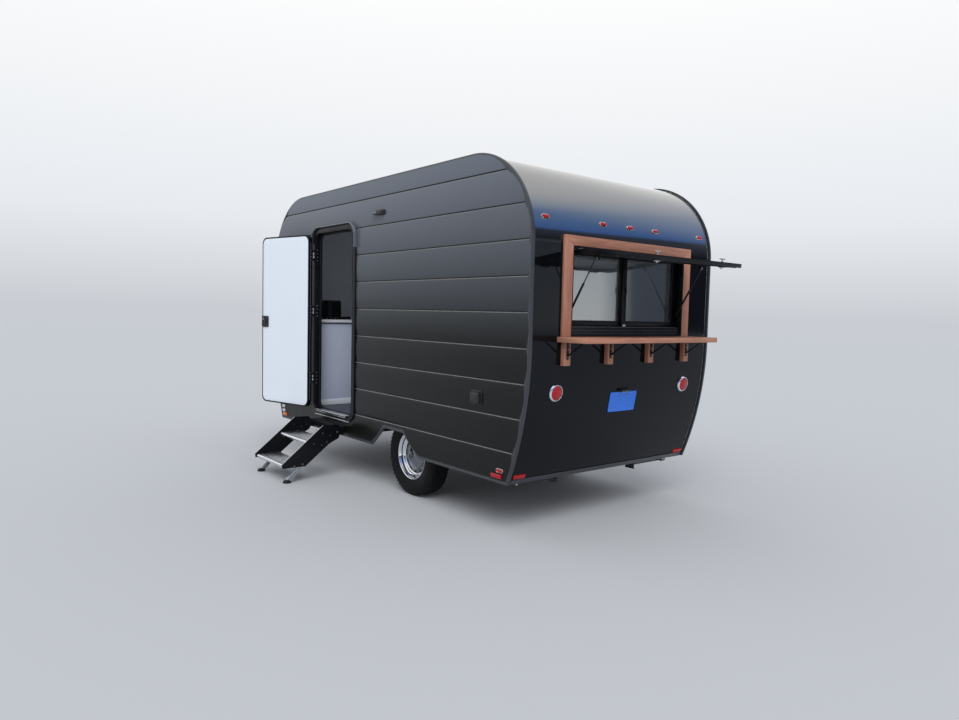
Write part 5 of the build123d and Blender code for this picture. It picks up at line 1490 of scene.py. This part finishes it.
# Power inlet with a hinged cover
def powerInlet():
    low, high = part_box("inlet_box")
    seat = seatAt(((low.x + high.x) / 2, sideY - 0.003, (low.z + high.z) / 2), (0, 1, 0))
    box = [pad("inletPart", size, rings, shifted(seat, y=rise), "blackPlastic", count)
           for rise, size, rings, count in (
               (0, (130, 110, 10), [(0, 0), (0, 6), (1.2, 7.6), (3, 8)], 6),
               (-3, (104, 86, 12), [(0, 7), (0, 20), (2, 25), (6, 29), (12, 31.6), (20, 33)], 6),
               (-47, (34, 10, 4), [(0, 8), (0, 24), (1.5, 26)], 4))]
    pin = turned("coverPin", [(3.4, -46), (4.4, -45), (4.4, 45), (3.4, 46)],
                 shifted(seat, 0, 43, 12) @ Matrix.Rotation(math.radians(90), 4, "Y"), "blackPlastic", 14)
    settle(joined("powerInlet", box + [pin]), "trailer", "inlet", "inlet_box")
    rows = [(seat @ Vector((x * mm, y * mm, 7.8 * mm)), (0, 1, 0), 3.2) for x in (-57, 57) for y in (-47, 47)]
    studs("inletScrews", rows, "darkSteel", "trailer", "inlet")


# Porch lamp, a teardrop with a pale nose that tapers to the front, which is the seat's minus x
def porchLamp():
    low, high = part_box("porch_lamp")
    seat = seatAt(((low.x + high.x) / 2 - 0.02, sideY - 0.003, (low.z + high.z) / 2), (0, 1, 0))
    drop = [(-104, 0), (-100, -5), (-84, -10), (-50, -16), (-10, -21), (40, -24), (78, -24), (92, -18),
            (98, -8), (98, 8), (92, 18), (78, 24), (40, 24), (-10, 21), (-50, 16), (-84, 10), (-100, 5)]
    tail = tapered("lampTail", drop, [(1, 0), (1, 8), (0.96, 18), (0.88, 27), (0.76, 34), (0.6, 38)], seat,
                   "blackPlastic")
    glow = [(-92, 0), (-86, -5), (-60, -9), (-20, -11), (0, -10), (6, -5), (6, 5), (0, 10), (-20, 11),
            (-60, 9), (-86, 5)]
    nose = tapered("lampNose", glow, [(1, 4), (1, 36), (0.94, 40.4), (0.8, 42.6)], seat, "gutterMetal")
    settle(joined("porchLamp", [tail, nose]), "trailer", "inlet", "porch_lamp")


rearLamps()
sideMarkers()
numberPlate()
powerInlet()
porchLamp()
print("lamps and fittings ready")


# Cabin: cabinet with a plinth, counter, and the appliance on it

def cabinet():
    softened("cabinet", "paleLaminate", "cabinet", 1.5)
    softened("counter_top", "counterTop", "counter", 3)
    low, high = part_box("cabinet")
    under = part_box("counter_top")[0].z
    for name, out, foot, head, material, edge in (
            ("plinth", 0.006, floorZ + 0.001, floorZ + 0.058, "counterTop", 1.2),
            ("counterLip", 0.004, under - 0.012, under - 0.002, "darkSteel", 0)):
        strip = slab(name, (low.x - out, low.y + 0.01, foot), (low.x + 0.001, high.y - 0.01, head),
                     material, edge)
        settle(strip, "trailer", "cabinet")


def appliance():
    low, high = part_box("appliance")
    wide, deep, tall = 164, 160, 1000 * (high.z - low.z) - 8
    face = high.x - deep * mm
    seat = seatAt((face, high.y - wide * mm / 2, (low.z + high.z) / 2 + 0.004), (-1, 0, 0))
    parts = [
        pad("applianceBody", (wide, tall, 26), [(3, -deep), (0, 3 - deep), (0, -6), (3, -1), (6, 0)], seat,
            "blackPlastic", 6),
        pad("applianceDoor", (wide - 66, tall - 40, 12), [(0, -1), (0, 2), (2, 3.4), (5, 3.6)],
            shifted(seat, 16), "satinBlack", 5),
        pad("lowTray", (110, 30, 8), [(0, -120), (0, -4), (2, -1), (6, 0)],
            seatAt((face + 0.02, high.y - 0.240, low.z + 0.015), (-1, 0, 0)), "blackPlastic", 4)]
    parts += [turned("knob", [(11, -1), (11, 9), (9, 12), (3, 12.4)], shifted(seat, 20 - wide / 2, rise),
                     "darkSteel", 24) for rise in (-50, 0, 50)]
    half = 0.012
    parts += [slab("foot", (x - half, y - half, low.z), (x + half, y + half, low.z + half), "blackRubber")
              for x in (face + 0.03, high.x - 0.03) for y in (high.y - 0.13, high.y - 0.03)]
    settle(joined("applianceLooks", parts), "trailer", "appliance", "appliance")


cabinet()
appliance()


# Chassis, jack, coupler and stabilizers, from their CAD nodes with bolts and a grip added

plainNodes = {
    "end_trims": ("mouldingTrim", "moulding", 2),
    "floor": ("floorVinyl", "floor_board", 0),
    "wheel_wells": ("blackPlastic", "well_sheet", 2),
    "rails": ("chassisPaint", "chassis", 3),
    "crossmembers": ("chassisPaint", "chassis", 2),
    "tongue": ("chassisPaint", "chassis", 3),
    "coupler": ("chassisPaint", "chassis", 2),
    "tongue_jack": ("zincSteel", "chassis", 1),
    "jack_leg": ("zincSteel", "galvanised", 1),
    "axle": ("chassisPaint", "chassis", 2),
    "stabilizer_mounts": ("chassisPaint", "chassis", 1),
    "stabilizer_left": ("chassisPaint", "chassis", 1),
    "stabilizer_right": ("chassisPaint", "chassis", 1),
}
for node, (material, slot, edge) in plainNodes.items():
    softened(node, material, slot, edge)


def frameBolts():
    bolts = {"mountY": 0.860, "mountZ": above(0.345), "flange": 0.046}
    low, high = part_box("stabilizer_mounts")
    rows = [((x, side * bolts["mountY"], bolts["mountZ"]), (way, 0, 0), 10)
            for side in (-1, 1) for x, way in ((low.x, -1), (high.x, 1))]
    middle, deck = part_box("tongue_jack")[0].x + 0.062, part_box("tongue")[1].z + 0.008
    for turn in (60, 180, 300):
        angle = math.radians(turn)
        rows.append(((middle + bolts["flange"] * math.cos(angle), bolts["flange"] * math.sin(angle), deck),
                     (0, 0, 1), 7))
    studs("frameBolts", rows, "zincSteel", "trailer", "galvanised", "bolt", 6)


def crankGrip():
    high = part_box("tongue_jack")[1]
    grip = turned("crankGrip", [(8.2, 0), (11, 2), (11.6, 8), (10.6, 30), (11.6, 54), (11, 60), (8.2, 62)],
                  seatAt((high.x - 0.008, 0, high.z - 0.066), (0, 0, 1), (0, 1, 0)), "blackPlastic", 24)
    settle(grip, "trailer", "inlet")


frameBolts()
crankGrip()
print("chassis ready")
